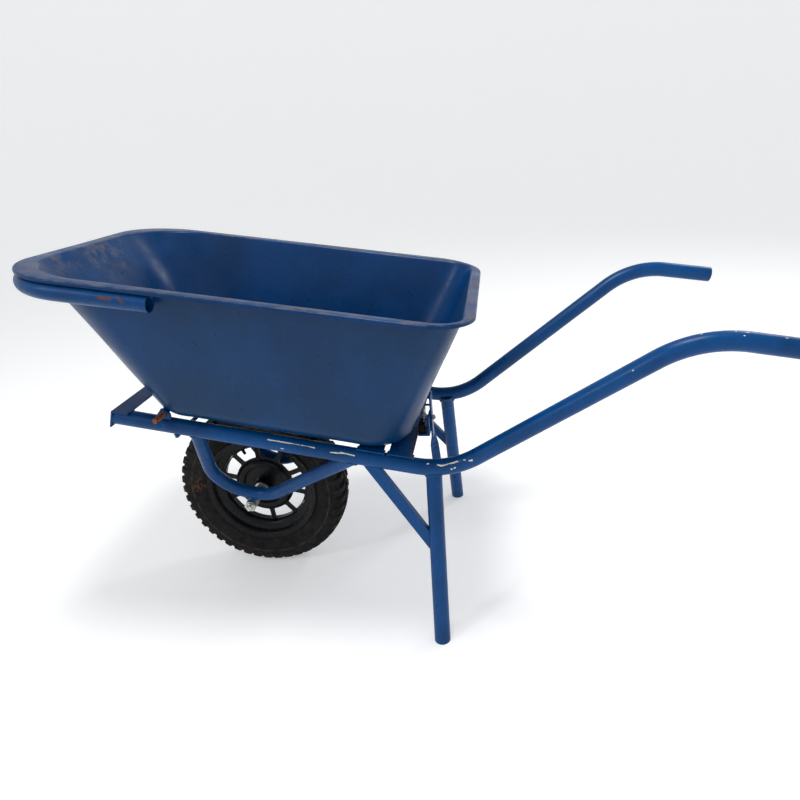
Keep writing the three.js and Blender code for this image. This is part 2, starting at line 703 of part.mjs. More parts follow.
/** The hand end: the strap carries on down, twisted a good part of a quarter turn and bent back. */
function leverPaddle() {
  const steps = 8;
  const { lerp, smoothstep, degToRad } = THREE.MathUtils;
  const middle = LEVER.front + LEVER.thickness / 2;
  const halfThickness = LEVER.thickness / 2 - GAP;
  const centre = (t) => vec([middle + PADDLE.reach * t, LATCH_PIVOT.y, lerp(PADDLE.top, PADDLE.bottom, t)]);
  const rings = Array.from({ length: steps + 1 }, (_, k) => {
    const t = k / steps;
    const turn = degToRad(PADDLE.twist) * smoothstep(t, 0, 0.6);
    const taper = k === steps ? PADDLE.tipTaper : 1;
    const half = lerp(LEVER.halfWidth - GAP, PADDLE.halfWidth, Math.min(t * 2, 1)) * taper;
    const wide = vec([Math.sin(turn), Math.cos(turn), 0]).multiplyScalar(half);
    const thick = vec([Math.cos(turn), -Math.sin(turn), 0]).multiplyScalar(halfThickness);
    const corners = [[-1, -1], [1, -1], [1, 1], [-1, 1]];
    return corners.map(([a, b]) => centre(t).addScaledVector(wide, a).addScaledVector(thick, b));
  });
  return closeRings(rings, centre(0), centre(1));
}

function latchLever() {
  const [y, z] = SPRING.top;
  const post = new THREE.CylinderGeometry(2.5, 2.5, 14, 10).rotateZ(Math.PI / 2);
  post.translate(LEVER.front - 5, y, z);
  return join(leverStrap(), leverPaddle(), post);
}

/** The coil spring's outer shape, from its post on the lever to the bracket. */
function latchSpring() {
  const [low, high] = [SPRING.bottom, SPRING.top].map(([y, z]) => vec([SPRING.x, y, z]));
  const along = high.clone().sub(low);
  const coil = new THREE.CylinderGeometry(SPRING.radius, SPRING.radius, along.length() - 7, 12);
  const turn = new THREE.Quaternion().setFromUnitVectors(vec([0, 1, 0]), along.clone().normalize());
  return coil.applyQuaternion(turn).translate(...low.lerp(high, 0.5).toArray());
}

function latch() {
  const group = new THREE.Group();
  const { radius } = LATCH_PIVOT;
  const hexRadius = 10 / Math.sqrt(3);
  const flange = BRACKET.rear - BRACKET.thickness;
  const nutFace = LEVER.front + LEVER.thickness + 0.5;
  const bolt = join(
    extrudeAlongX(onLatchAxis(hexRadius, 6), flange - GAP - 4, flange - GAP),
    extrudeAlongX(onLatchAxis(radius, ROUND_SIDES), flange - 2, nutFace + 6),
  );
  const nut = onLatchAxis(hexRadius, 6);
  nut.holes.push(onLatchAxis(radius + GAP, 16, THREE.Path));
  const { low, high } = BRACKET;
  const block = new THREE.BoxGeometry(12, high - low - 6, 17).translate(412, (low + high) / 2, 391.5);
  group.add(
    piece('latch_bracket', latchBracket(), BLUE),
    piece('latch_pad', block, RUBBER),
    piece('latch_bolt', bolt, ZINC),
    piece('latch_nut', extrudeAlongX(nut, nutFace, nutFace + 4.5), ZINC),
    piece('latch_spring', latchSpring(), ZINC),
    piece('latch_lever', latchLever(), BLUE),
  );
  return group;
}

// ---- Assembly -------------------------------------------------------------------------

const wheelbarrow = new THREE.Group();
wheelbarrow.add(frame(), axleSet(), wheel(), tray(), tippingPivot(), latch());
const box = new THREE.Box3().setFromObject(wheelbarrow);
wheelbarrow.position.x = -(box.min.x + box.max.x) / 2;

export default wheelbarrow;
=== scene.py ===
"""Builder's wheelbarrow: blue enamelled pipe frame, sheet-steel tray and one pneumatic wheel."""
import math

import bmesh
import bpy
from mathutils import Matrix, Vector, noise


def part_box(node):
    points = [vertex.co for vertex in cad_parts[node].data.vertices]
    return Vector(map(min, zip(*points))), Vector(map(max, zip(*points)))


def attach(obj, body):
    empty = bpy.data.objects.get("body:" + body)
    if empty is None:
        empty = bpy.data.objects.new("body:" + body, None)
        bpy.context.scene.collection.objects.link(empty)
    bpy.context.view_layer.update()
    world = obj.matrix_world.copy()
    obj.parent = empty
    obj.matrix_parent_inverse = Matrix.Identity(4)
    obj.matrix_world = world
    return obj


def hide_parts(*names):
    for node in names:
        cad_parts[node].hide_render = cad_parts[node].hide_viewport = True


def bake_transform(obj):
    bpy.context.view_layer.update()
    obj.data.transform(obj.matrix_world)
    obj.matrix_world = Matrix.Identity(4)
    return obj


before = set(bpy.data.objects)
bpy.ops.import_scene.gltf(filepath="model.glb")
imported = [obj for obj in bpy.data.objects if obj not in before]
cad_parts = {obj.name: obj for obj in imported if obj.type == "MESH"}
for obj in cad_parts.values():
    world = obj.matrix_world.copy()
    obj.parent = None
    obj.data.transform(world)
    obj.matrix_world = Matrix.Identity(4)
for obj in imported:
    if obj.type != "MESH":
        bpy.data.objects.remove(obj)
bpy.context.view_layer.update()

# ---- Frame of reference ---------------------------------------------------------------

MM = 0.001
axle_low, axle_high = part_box("axle")
AXLE_X = (axle_low.x + axle_high.x) / 2
AXLE_Z = (axle_low.z + axle_high.z) / 2


def at(x, y, z):
    """A point given in millimetres from the ground under the axle."""
    return Vector((AXLE_X + x * MM, y * MM, z * MM))


# ---- Driving dimensions, in millimetres -------------------------------------------------

PIPE, PIPE_WALL = 16.85, 2.6
LEG, LEG_WALL = 16.5, 2.3
FORK, FORK_WALL = 15.0, 2.3
SLOPE = math.radians(11.27)
RAIL_AXIS_Z = 440.5
RAIL_Y = 193
LOWER_BEND = ((476.3, 192.1, 345.6), 160)
UPPER_BEND = ((901.5, 280, 639.5), 185)
GRIP_END = (1079.6, 287.5, 608.1)
CAP = 3.0
ANGLE_INNER, ANGLE_TOP, ANGLE_LEAN = -215.7, 14.3, 5 / 37.5
ANGLE_REAR = -183.2
FORK_LEAN = math.radians(27.7)
FORK_CORNERS = ((-44, 0), (-46, 371.5), (296.4, 0))
FORK_BEND = 89.7
LEG_TOP, LEG_FOOT = (445.4, 188, 343.8), (450.8, 285.5, 0)
RIM_Z, RIM_SLOPE = 758.9, -0.172
RIM = dict(front=-327, rear=542, half=300, front_radius=130, rear_radius=110)
WALL_TOP = dict(front=-300.5, rear=521, half=272.5, front_radius=140, rear_radius=58)
FLOOR = dict(front=-123, rear=387, half=205, front_radius=78, rear_radius=94)
FLOOR_HEIGHT = 22.6
SHEET = 1.5
BUMPER = dict(front=-311, half=287.7, end=-22, radius=112, drop=24.5)
WINDOWS, WINDOW_IN, WINDOW_OUT, HALF_SPOKE, FIRST_SPOKE = 10, 73, 102, 6, 22
SPRING_X, SPRING_TOP, SPRING_LOW = 418.5, (-64, 437), (-88, 409)


# ---- Node helpers -----------------------------------------------------------------------


class Nodes:
    """Short calls for building one material's node tree."""

    def __init__(self, name):
        self.material = bpy.data.materials.new(name)
        self.material.use_nodes = True
        self.tree = self.material.node_tree
        self.shader = self.tree.nodes["Principled BSDF"]
        self.coords = self.add("ShaderNodeTexCoord")
        self.place = self.coords.outputs["Object"]
        self.ragged = self.noise(380, 5, 0.65, seed=0.7)

    def add(self, kind, **settings):
        node = self.tree.nodes.new(kind)
        for key, value in settings.items():
            setattr(node, key, value)
        return node

    def put(self, socket, value):
        if isinstance(value, bpy.types.NodeSocket):
            self.tree.links.new(value, socket)
        elif hasattr(socket.default_value, "__len__") and not hasattr(value, "__len__"):
            socket.default_value = [value] * len(socket.default_value)
        elif hasattr(socket.default_value, "__len__"):
            socket.default_value = (*value, 1)[: len(socket.default_value)]
        else:
            socket.default_value = value

    def math(self, operation, a, b=0.0, clamp=False):
        node = self.add("ShaderNodeMath", operation=operation, use_clamp=clamp)
        self.put(node.inputs[0], a)
        self.put(node.inputs[1], b)
        return node.outputs[0]

    def noise(self, scale, detail=4.0, rough=0.55, stretch=None, seed=0.0):
        node = self.add("ShaderNodeTexNoise")
        place = self.place
        if stretch or seed:
            mapping = self.add("ShaderNodeMapping")
            self.put(mapping.inputs["Vector"], place)
            mapping.inputs["Scale"].default_value = stretch or (1, 1, 1)
            mapping.inputs["Location"].default_value = (seed, seed * 1.7, seed * 0.6)
            place = mapping.outputs[0]
        self.put(node.inputs["Vector"], place)
        self.put(node.inputs["Scale"], scale)
        self.put(node.inputs["Detail"], detail)
        self.put(node.inputs["Roughness"], rough)
        return node.outputs[0]

    def step(self, value, low, high, out_low=0.0, out_high=1.0):
        node = self.add("ShaderNodeMapRange", interpolation_type="SMOOTHSTEP")
        values = (value, low, high, out_low, out_high)
        for socket, item in zip(node.inputs[:5], values):
            self.put(socket, item)
        return node.outputs[0]

    def mix(self, factor, a, b):
        node = self.add("ShaderNodeMix", data_type="RGBA")
        self.put(node.inputs[0], factor)
        self.put(node.inputs[6], a)
        self.put(node.inputs[7], b)
        return node.outputs[2]

    def ball(self, centre, radius, soft=0.4):
        """1 inside a ball about a point of the object, 0 outside."""
        node = self.add("ShaderNodeVectorMath", operation="DISTANCE")
        self.put(node.inputs[0], self.place)
        node.inputs[1].default_value = centre
        return self.step(node.outputs["Value"], radius * soft, radius, 1.0, 0.0)

    def streak(self, a, b, radius, ragged=0.0035):
        """1 along a ragged streak from a to b, 0 elsewhere."""
        along = Vector(b) - Vector(a)
        from_a = self.add("ShaderNodeVectorMath", operation="SUBTRACT")
        self.put(from_a.inputs[0], self.place)
        from_a.inputs[1].default_value = a
        dot = self.add("ShaderNodeVectorMath", operation="DOT_PRODUCT")
        self.put(dot.inputs[0], from_a.outputs[0])
        dot.inputs[1].default_value = along / max(along.length_squared, 1e-9)
        share = self.math("MINIMUM", self.math("MAXIMUM", dot.outputs["Value"], 0), 1)
        near = self.add("ShaderNodeVectorMath", operation="SCALE")
        near.inputs[0].default_value = along
        self.put(near.inputs["Scale"], share)
        gap = self.add("ShaderNodeVectorMath", operation="DISTANCE")
        self.put(gap.inputs[0], from_a.outputs[0])
        self.put(gap.inputs[1], near.outputs[0])
        edge_noise = self.math("MULTIPLY", self.math("SUBTRACT", self.ragged, 0.5), ragged)
        distance = self.math("ADD", gap.outputs["Value"], edge_noise)
        return self.step(distance, radius * 0.85, radius, 1.0, 0.0)

    def heights(self, slope, level):
        """Height over the plane z = level - slope * x, and the object-space normal's z."""
        split = self.add("ShaderNodeSeparateXYZ")
        self.put(split.inputs[0], self.place)
        rise = self.math("ADD", split.outputs["Z"], self.math("MULTIPLY", split.outputs["X"], slope))
        normal = self.add("ShaderNodeSeparateXYZ")
        self.put(normal.inputs[0], self.coords.outputs["Normal"])
        return self.math("SUBTRACT", rise, level), normal.outputs["Z"]

    def bump(self, height, strength, distance=0.001):
        node = self.add("ShaderNodeBump")
        self.put(node.inputs["Strength"], strength)
        self.put(node.inputs["Distance"], distance)
        self.put(node.inputs["Height"], height)
        return node.outputs[0]

    def largest(self, values):
        result = values[0]
        for value in values[1:]:
            result = self.math("MAXIMUM", result, value)
        return result

    def finish(self, colour, roughness, metallic=0.0, normal=None, **plain):
        self.put(self.shader.inputs["Base Color"], colour)
        self.put(self.shader.inputs["Roughness"], roughness)
        self.put(self.shader.inputs["Metallic"], metallic)
        if normal:
            self.put(self.shader.inputs["Normal"], normal)
        for key, value in plain.items():
            self.shader.inputs[key.replace("_", " ")].default_value = value
        return self.material


def linear(r, g, b):
    """A linear colour from 0 to 255 display values."""
    def one(c):
        c /= 255
        return c / 12.92 if c <= 0.04045 else ((c + 0.055) / 1.055) ** 2.4
    return (one(r), one(g), one(b))


PRIMER = linear(222, 218, 196)
BARE_RUST = linear(96, 56, 34)
DUST = linear(112, 104, 94)


def enamel(name, deep, bright, chips=(), rusts=(), dusty=(), scratches=0.3, wear=0.0, peel=0.25,
           tray_dust_and_shade=False):
    """Sprayed gloss enamel on steel, chipped where it has been knocked."""
    n = Nodes(name)
    colour = n.mix(n.step(n.noise(6, 3), 0.3, 0.7), deep, bright)
    patch = n.step(n.noise(38, 5, seed=3.1), 0.45, 0.75, 0.0, 0.14)
    colour = n.mix(patch, colour, [c * 0.6 for c in deep])
    # Painted sheen: long streaks lightened towards a brighter blue stand in for soft highlights.
    streak = n.noise(60, 6, 0.65, stretch=(1, 1, 0.12), seed=9.0)
    painted_sheen = [min(1, c * 1.5 + 0.006) for c in bright]
    colour = n.mix(n.step(streak, 0.56, 0.72, 0.0, 0.2), colour, painted_sheen)
    roughness = n.step(n.noise(22, 5, 0.6, seed=2.2), 0.25, 0.75, 0.24, 0.42)
    scratch = n.step(n.noise(70, 8, 0.8, stretch=(0.15, 2.6, 2.6), seed=4.4), 0.66, 0.7, 0.0, scratches)
    colour = n.mix(scratch, colour, linear(70, 108, 148))
    veils = []
    if dusty:
        spots = n.largest([n.ball(c, r, 0.2) for c, r in dusty])
        broken = n.step(n.noise(32, 7, 0.7, seed=6.0), 0.42, 0.7, 0.0, 0.5)
        veils.append(n.math("MULTIPLY", spots, broken))
    # Dust along the rim's top edge, and painted shade on the tray's downward-facing outside.
    if tray_dust_and_shade:
        over_rim, facing = n.heights(-RIM_SLOPE, RIM_Z * MM - RIM_SLOPE * AXLE_X)
        ridge = n.step(over_rim, -0.0022, -0.0006)
        broken = n.step(n.noise(24, 7, 0.7, seed=6.4), 0.44, 0.66, 0.0, 0.6)
        veils.append(n.math("MULTIPLY", ridge, broken))
        # Painted shade: downward-facing outside faces are mixed, in patches, towards a duller, greyer blue.
        painted_shade_strength = n.step(n.noise(5, 4), 0.2, 0.8, 0.1, 0.45)
        outside = n.math("MULTIPLY", n.step(facing, -0.1, -0.2), painted_shade_strength)
        colour = n.mix(outside, colour, linear(12, 50, 74))
    if veils:
        veil = n.largest(veils)
        colour = n.mix(veil, colour, DUST)
        roughness = n.math("ADD", roughness, n.math("MULTIPLY", veil, 0.4), clamp=True)
    flake = n.math("ADD", n.math("MULTIPLY", n.noise(130, 6, 0.68, seed=1.3), 0.75),
                   n.math("MULTIPLY", n.noise(420, 4, 0.7, seed=5.0), 0.25))
    ground = n.step(flake, 0.735 - wear, 0.745 - wear)
    bare = n.mix(n.step(n.noise(90, 4, 0.6, seed=7.7), 0.47, 0.56), PRIMER, BARE_RUST)
    colour = n.mix(ground, colour, bare)
    if chips:
        knocked = n.largest([n.streak(*chip) for chip in chips])
        pale = n.mix(n.step(n.noise(300, 4, seed=3.3), 0.56, 0.66), PRIMER, linear(150, 112, 74))
        colour = n.mix(knocked, colour, pale)
        ground = n.largest([ground, knocked])
    if rusts:
        rusted = n.largest([n.streak(*r) for r in rusts])
        rusted = n.math("MULTIPLY", rusted, n.step(n.noise(160, 5, 0.7, seed=2.9), 0.4, 0.5))
        colour = n.mix(rusted, colour, BARE_RUST)
        ground = n.largest([ground, rusted])
    roughness = n.math("ADD", roughness, n.math("MULTIPLY", ground, 0.4), clamp=True)
    height = n.math("ADD", n.math("MULTIPLY", n.noise(170, 2, 0.5), 0.6),
                    n.math("MULTIPLY", n.noise(1500, 3, 0.6), 0.12))
    height = n.math("SUBTRACT", height, n.math("MULTIPLY", ground, 0.5))
    return n.finish(colour, roughness, 0.0, n.bump(height, peel, 0.0006), Specular_IOR_Level=GLOSS)


GLOSS = 0.2


def zinc(name):
    n = Nodes(name)
    spangle = n.noise(210, 4, 0.6)
    colour = n.mix(n.step(spangle, 0.35, 0.7), linear(150, 152, 150), linear(214, 214, 208))
    stain = n.step(n.noise(75, 5, 0.6, seed=2.0), 0.58, 0.7)
    colour = n.mix(n.math("MULTIPLY", stain, 0.7), colour, linear(118, 96, 70))
    roughness = n.step(n.noise(120, 4), 0.3, 0.7, 0.24, 0.46)
    roughness = n.math("ADD", roughness, n.math("MULTIPLY", stain, 0.35), clamp=True)
    metal = n.math("SUBTRACT", 1.0, n.math("MULTIPLY", stain, 0.6))
    return n.finish(colour, roughness, metal, n.bump(n.noise(900, 3), 0.12, 0.0003))


def rust(name):
    n = Nodes(name)
    colour = n.mix(n.step(n.noise(160, 6, 0.7), 0.35, 0.65), linear(88, 44, 24), linear(168, 92, 44))
    colour = n.mix(n.step(n.noise(420, 5, 0.7, seed=3.0), 0.55, 0.7), colour, linear(60, 34, 24))
    roughness = n.step(n.noise(200, 4), 0.3, 0.7, 0.7, 0.95)
    return n.finish(colour, roughness, 0.15, n.bump(n.noise(650, 6, 0.7), 0.6, 0.0008))


def rubber(name, rings=True):
    """Tyre rubber, greyed by dust, with a soil line round the sidewall."""
    n = Nodes(name)
    colour = n.mix(n.step(n.noise(30, 5, 0.6), 0.3, 0.7), linear(12, 12, 13), linear(24, 24, 24))
    dust = n.step(n.noise(85, 8, 0.72, seed=1.0), 0.5, 0.72)
    amount = n.math("MULTIPLY", dust, 0.16)
    if rings:
        radial = n.add("ShaderNodeVectorMath", operation="DISTANCE")
        flat = n.add("ShaderNodeVectorMath", operation="MULTIPLY")
        n.put(flat.inputs[0], n.place)
        flat.inputs[1].default_value = (1, 0, 1)
        n.put(radial.inputs[0], flat.outputs[0])
        radial.inputs[1].default_value = (AXLE_X, 0, AXLE_Z)
        r = radial.outputs["Value"]
        line = n.math("MULTIPLY", n.step(r, 0.169, 0.172), n.step(r, 0.172, 0.176, 1.0, 0.0))
        soil = n.step(n.noise(45, 5, 0.7, seed=8.0), 0.35, 0.7)
        amount = n.math("ADD", amount, n.math("MULTIPLY", n.math("MULTIPLY", line, soil), 0.45))
        patch = n.math("MULTIPLY", n.ball((AXLE_X - 0.155, -0.04, AXLE_Z + 0.02), 0.03),
                       n.step(n.noise(110, 6, 0.7, seed=5.5), 0.48, 0.66))
        colour = n.mix(n.math("MULTIPLY", patch, 0.7), colour, linear(104, 66, 40))
    colour = n.mix(n.math("MINIMUM", amount, 0.7), colour, linear(98, 82, 66))
    roughness = n.step(n.noise(60, 5, seed=2.0), 0.3, 0.7, 0.55, 0.85)
    return n.finish(colour, roughness, 0.0, n.bump(n.noise(800, 5, 0.65), 0.35, 0.0006),
                    Specular_IOR_Level=0.14)


def black_enamel(name):
    n = Nodes(name)
    colour = n.mix(n.step(n.noise(26, 4), 0.3, 0.7), linear(8, 9, 11), linear(19, 20, 23))
    dust = n.step(n.noise(110, 7, 0.7, seed=4.0), 0.56, 0.74, 0.0, 0.2)
    colour = n.mix(dust, colour, linear(92, 88, 82))
    chip = n.step(n.noise(260, 5, 0.7, seed=2.0), 0.72, 0.735)
    colour = n.mix(chip, colour, linear(96, 62, 42))
    roughness = n.math("ADD", n.step(n.noise(70, 4), 0.3, 0.7, 0.22, 0.4), n.math("MULTIPLY", dust, 0.8))
    pores = n.bump(n.noise(300, 3), 0.2, 0.0005)
    return n.finish(colour, roughness, 0.0, pores, Specular_IOR_Level=0.16)


def marks(*rows):
    """Streaks of lost paint, from two places and a radius in millimetres."""
    return [(at(*a), at(*b), r * MM) for a, b, r in rows]


RAIL_CHIPS = marks(
    ((114, -205.5, 429), (163, -205.4, 419), 1.17), ((163, -205.4, 419), (208, -205.4, 410), 0.62),
    ((200, -205.4, 411), (210, -206, 408.5), 1.17), ((141, -209.2, 410), (145, -209.2, 409), 1.01),
    ((242, -207.8, 399.5), (266, -206.8, 396), 1.09), ((262, -206, 398), (290, -207.2, 391), 1.33),
    ((435, -203.1, 369.3), (438, -203.1, 369.3), 1.48), ((456, -206.9, 369), (464, -208, 367), 1.87),
    ((466, -208.5, 368), (484, -209.5, 374), 1.25), ((484, -210, 374), (496, -210.5, 378), 1.72),
    ((483, -213.2, 362.3), (485, -213.2, 362.3), 1.25), ((489, -213.8, 365), (491, -213.8, 366), 1.4),
    ((509, -213.3, 383), (511, -214, 383), 1.17), ((519, -217.8, 383), (525, -218.8, 385), 1.56),
    ((799.6, -274.3, 580.6), (801.4, -274.3, 581.8), 0.94),
    ((900, -277.7, 641.4), (903, -277.7, 641.4), 1.01),
    ((950, -283.5, 645.7), (952, -283.5, 645.7), 1.09),
    ((964, -286.8, 644.2), (968.6, -286.8, 644.2), 1.01),
    ((959.6, -293.6, 641), (961, -293.6, 641), 0.78),
    ((1022, -291.4, 634), (1024.6, -291.4, 633.6), 0.78))
TRAY_CHIPS = marks(((60, -271, 745), (60.5, -271, 744), 1.2), ((60, -264, 718), (60.5, -264, 717), 1.2),
                   ((310, -70, 640), (314, -70, 652), 0.9), ((355, -160, 700), (356, -161, 706), 0.8))
FRONT_DUST = [(at(-322, -120, 815), 0.1), (at(-300, 20, 812), 0.13), (at(-270, -215, 805), 0.08)]
BUMPER_RUST = marks(((-104, -304, 757), (-84, -304, 753), 3.2), ((-72, -303.5, 757), (-62, -304, 746), 2.8),
                    ((-300, -262, 776), (-290, -268, 772), 3.0))
PLATE_RUST = marks(((404.6, -196, 382), (404.6, 196, 382), 1.6), ((401, -196, 379), (401, 196, 379), 2.6))

DEEP, BRIGHT = linear(0, 52, 98), linear(0, 67, 124)
pipe_blue = enamel("frame_pipe_enamel", DEEP, BRIGHT, RAIL_CHIPS)
plate_blue = enamel("frame_plate_enamel", DEEP, BRIGHT, rusts=PLATE_RUST, wear=0.015)
tray_blue = enamel("tray_sheet_enamel", linear(0, 44, 86), linear(0, 54, 104), TRAY_CHIPS,
                   dusty=FRONT_DUST, scratches=0.4, peel=0.2, tray_dust_and_shade=True)
bumper_blue = enamel("bumper_pipe_enamel", DEEP, BRIGHT, rusts=BUMPER_RUST,
                     dusty=[(at(-320, -60, 790), 0.12)])
weld_blue = enamel("weld_enamel", linear(0, 46, 88), linear(18, 74, 126), wear=0.02, peel=0.6)
zinc_grey = zinc("zinc_plate")
rust_brown = rust("rusty_steel")
tyre_black = rubber("tyre_rubber")
plain_black = rubber("plain_rubber", rings=False)
disc_black = black_enamel("wheel_enamel")

# ---- Mesh helpers -------------------------------------------------------------------------


def make(name, verts, faces, material, slot, body, nodes=(), angle=40):
    """One mesh object with its material, its body and the CAD nodes that it stands for."""
    mesh = bpy.data.meshes.new(name)
    mesh.from_pydata([tuple(v) for v in verts], [], faces)
    mesh.validate()
    bm = bmesh.new()
    bm.from_mesh(mesh)
    bmesh.ops.remove_doubles(bm, verts=bm.verts, dist=1e-6)
    bmesh.ops.recalc_face_normals(bm, faces=bm.faces)
    limit = math.radians(angle)
    for face in bm.faces:
        face.smooth = True
    for edge in bm.edges:
        edge.smooth = len(edge.link_faces) == 2 and edge.calc_face_angle(0) < limit
    bm.to_mesh(mesh)
    bm.free()
    piece = bpy.data.objects.new(name, mesh)
    bpy.context.scene.collection.objects.link(piece)
    mesh.materials.append(material)
    if body:
        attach(piece, body)
    if nodes:
        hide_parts(*nodes)
    return piece


def stitch(rings, closed_ends=False, closed_stack=False):
    """Quads between equal rings; fans close the ends where asked."""
    count = len(rings[0])
    verts = [v for ring in rings for v in ring]
    faces = []
    pairs = len(rings) if closed_stack else len(rings) - 1
    for i in range(pairs):
        a, b = i * count, ((i + 1) % len(rings)) * count
        faces += [(a + k, a + (k + 1) % count, b + (k + 1) % count, b + k) for k in range(count)]
    if closed_ends:
        last = (len(rings) - 1) * count
        faces.append(tuple(range(count)))
        faces.append(tuple(last + k for k in range(count)))
    return verts, faces


def bent_line(corners, radii, spacing=7.0, arc_steps=20):
    """Stations of (point, tangent) along straight runs joined by arcs."""
    corners = [Vector(c) for c in corners]
    stations = []
    start = corners[0]
    before = (corners[1] - corners[0]).normalized()

    def straight(a, b, heading):
        steps = max(1, round((b - a).length / spacing))
        stations.extend((a.lerp(b, k / steps), heading) for k in range(steps))

    for i, radius in enumerate(radii):
        corner = corners[i + 1]
        after = (corners[i + 2] - corner).normalized()
        turn = before.angle(after)
        first = corner - before * radius * math.tan(turn / 2)
        inward = (after - before * before.dot(after)).normalized()
        straight(start, first, before)
        for k in range(arc_steps):
            angle = turn * k / arc_steps
            point = first + before * radius * math.sin(angle) + inward * radius * (1 - math.cos(angle))
            stations.append((point, before * math.cos(angle) + inward * math.sin(angle)))
        start = corner + after * radius * math.tan(turn / 2)
        before = after
    straight(start, corners[-1], before)
    stations.append((corners[-1], before))
    return stations


def frames(stations):
    """A steady pair of cross axes for each station."""
    tangent = stations[0][1]
    side = tangent.orthogonal().normalized()
    result = []
    for _, heading in stations:
        side = (side - heading * side.dot(heading)).normalized()
        result.append((side, heading.cross(side)))
    return result


def tube_rings(stations, radius, sides=40, first=None, last=None):
    rings = []
    for (point, _), (a, b) in zip(stations, frames(stations)):
        angles = [2 * math.pi * k / sides for k in range(sides)]
        rings.append([point + (a * math.cos(t) + b * math.sin(t)) * radius for t in angles])
    if first:
        rings[0] = [first(p, stations[0][1]) for p in rings[0]]
    if last:
        rings[-1] = [last(p, stations[-1][1]) for p in rings[-1]]
    return rings


def tube(stations, radius, wall, first=None, last=None, trim=None, sides=40):
    """An open pipe with a real wall. Its ends are cut square, or by the surfaces given."""
    outer = tube_rings(stations, radius, sides, first, last)
    inner = tube_rings(stations, radius - wall, sides, first, last)
    if trim:
        outer = [[trim(p) for p in ring] for ring in outer]
    rings = outer + inner[::-1]
    verts, faces = stitch(rings, closed_stack=True)
    return [at(*v) for v in verts], faces


def hit_cylinder(origin, axis, radius):
    """Moves a point along its heading to the nearest place on a long cylinder."""
    def move(p, heading):
        w = p - origin
        w -= axis * w.dot(axis)
        d = heading - axis * heading.dot(axis)
        a, b, c = d.dot(d), w.dot(d), w.dot(w) - radius * radius
        root = math.sqrt(max(b * b - a * c, 0))
        near = min(((-b - root) / a, (-b + root) / a), key=abs)
        return p + heading * near
    return move


def hit_ground(p, heading):
    return p - heading * (p.z / heading.z)


def on_rails(along, y, height):
    return Vector((along * math.cos(SLOPE) + height * math.sin(SLOPE), y,
                   RAIL_AXIS_Z - along * math.sin(SLOPE) + height * math.cos(SLOPE)))


def bead(points, radius, closed, pitch=3.2, squash=1.0):
    """A weld bead with the scales that its ripples leave."""
    count = len(points)
    rings = []
    travelled = 0.0
    for i, p in enumerate(points):
        before = points[i - 1] if (closed or i) else p
        after = points[(i + 1) % count] if (closed or i < count - 1) else p
        heading = (after - before).normalized()
        travelled += (p - before).length if i else 0
        ripple = 0.82 + 0.26 * abs(math.sin(math.pi * travelled / pitch))
        ripple *= 0.94 + 0.16 * noise.noise(p * 0.11)
        if not closed:
            ripple *= min(1, 0.35 + 0.5 * min(i, count - 1 - i))
        side = heading.orthogonal().normalized()
        other = heading.cross(side)
        angles = [2 * math.pi * k / 10 for k in range(10)]
        rings.append([p + (side * math.cos(t) + other * math.sin(t) * squash) * radius * ripple
                      for t in angles])
    verts, faces = stitch(rings, closed_ends=not closed, closed_stack=closed)
    return [at(*v) for v in verts], faces


def merged(parts):
    verts, faces = [], []
    for part_verts, part_faces in parts:
        base = len(verts)
        verts += part_verts
        faces += [tuple(base + k for k in f) for f in part_faces]
    return verts, faces


def resampled(points, step):
    """Points at even distances along a closed loop."""
    loop = points + [points[0]]
    result, carried = [], 0.0
    for a, b in zip(loop, loop[1:]):
        length = (b - a).length
        while carried < length:
            result.append(a.lerp(b, carried / length))
            carried += step
        carried -= length
    return result


SIDES = (("left", -1), ("right", 1))


def sided(p, side):
    return Vector((p[0], p[1] * side, p[2]))


# ---- Pipe frame -----------------------------------------------------------------------------

RAIL_AXIS = Vector((math.cos(SLOPE), 0, -math.sin(SLOPE)))
RAIL_UP = Vector((math.sin(SLOPE), 0, math.cos(SLOPE)))


def rail_front(p, heading):
    """The rail's end lies along the inner face of the front cross angle."""
    height = (p - on_rails(0, p.y, 0)).dot(RAIL_UP)
    along = ANGLE_INNER - (ANGLE_TOP - height) * ANGLE_LEAN
    return on_rails(along, p.y, height)


def rail_trim(p):
    """The rail's top is cut down where the cross angle lies on it."""
    offset = p - on_rails(0, p.y, 0)
    along, height = offset.dot(RAIL_AXIS), offset.dot(RAIL_UP)
    if along < ANGLE_REAR and height > ANGLE_TOP:
        return on_rails(along, p.y, ANGLE_TOP)
    return p


def rails():
    for name, side in SIDES:
        corners = [on_rails(ANGLE_INNER, side * RAIL_Y, 0)]
        last = sided(UPPER_BEND[0], side)
        grip = sided(GRIP_END, side)
        corners += [sided(LOWER_BEND[0], side), last, grip - (grip - last).normalized() * (CAP + 0.02)]
        line = bent_line(corners, [LOWER_BEND[1], UPPER_BEND[1]])
        verts, faces = tube(line, PIPE, PIPE_WALL, first=rail_front, trim=rail_trim, sides=44)
        make(f"side_rail_{name}_pipe", verts, faces, pipe_blue, "frame_enamel", "frame",
             [f"side_rail_{name}"])
        end, heading = line[-1]
        dome = [(-CAP, PIPE), (-1.2, PIPE), (-0.4, PIPE - 0.5), (0, PIPE - 1.6), (0, 8), (0, 2)]
        side_axis, up_axis = frames([line[-1]])[0]
        rings = [[end + heading * (CAP + d) + (side_axis * math.cos(t) + up_axis * math.sin(t)) * r
                  for t in (2 * math.pi * k / 44 for k in range(44))] for d, r in dome]
        verts, faces = stitch(rings, closed_ends=True)
        make(f"handle_end_{name}_cap", [at(*v) for v in verts], faces, pipe_blue, "frame_enamel", "frame",
             [f"handle_end_{name}"])


def fork_stations(side):
    corners = []
    for along, drop in FORK_CORNERS:
        y = side * (RAIL_Y - drop * math.sin(FORK_LEAN))
        corners.append(on_rails(along, y, -drop * math.cos(FORK_LEAN)))
    return bent_line(corners, [FORK_BEND], arc_steps=40)


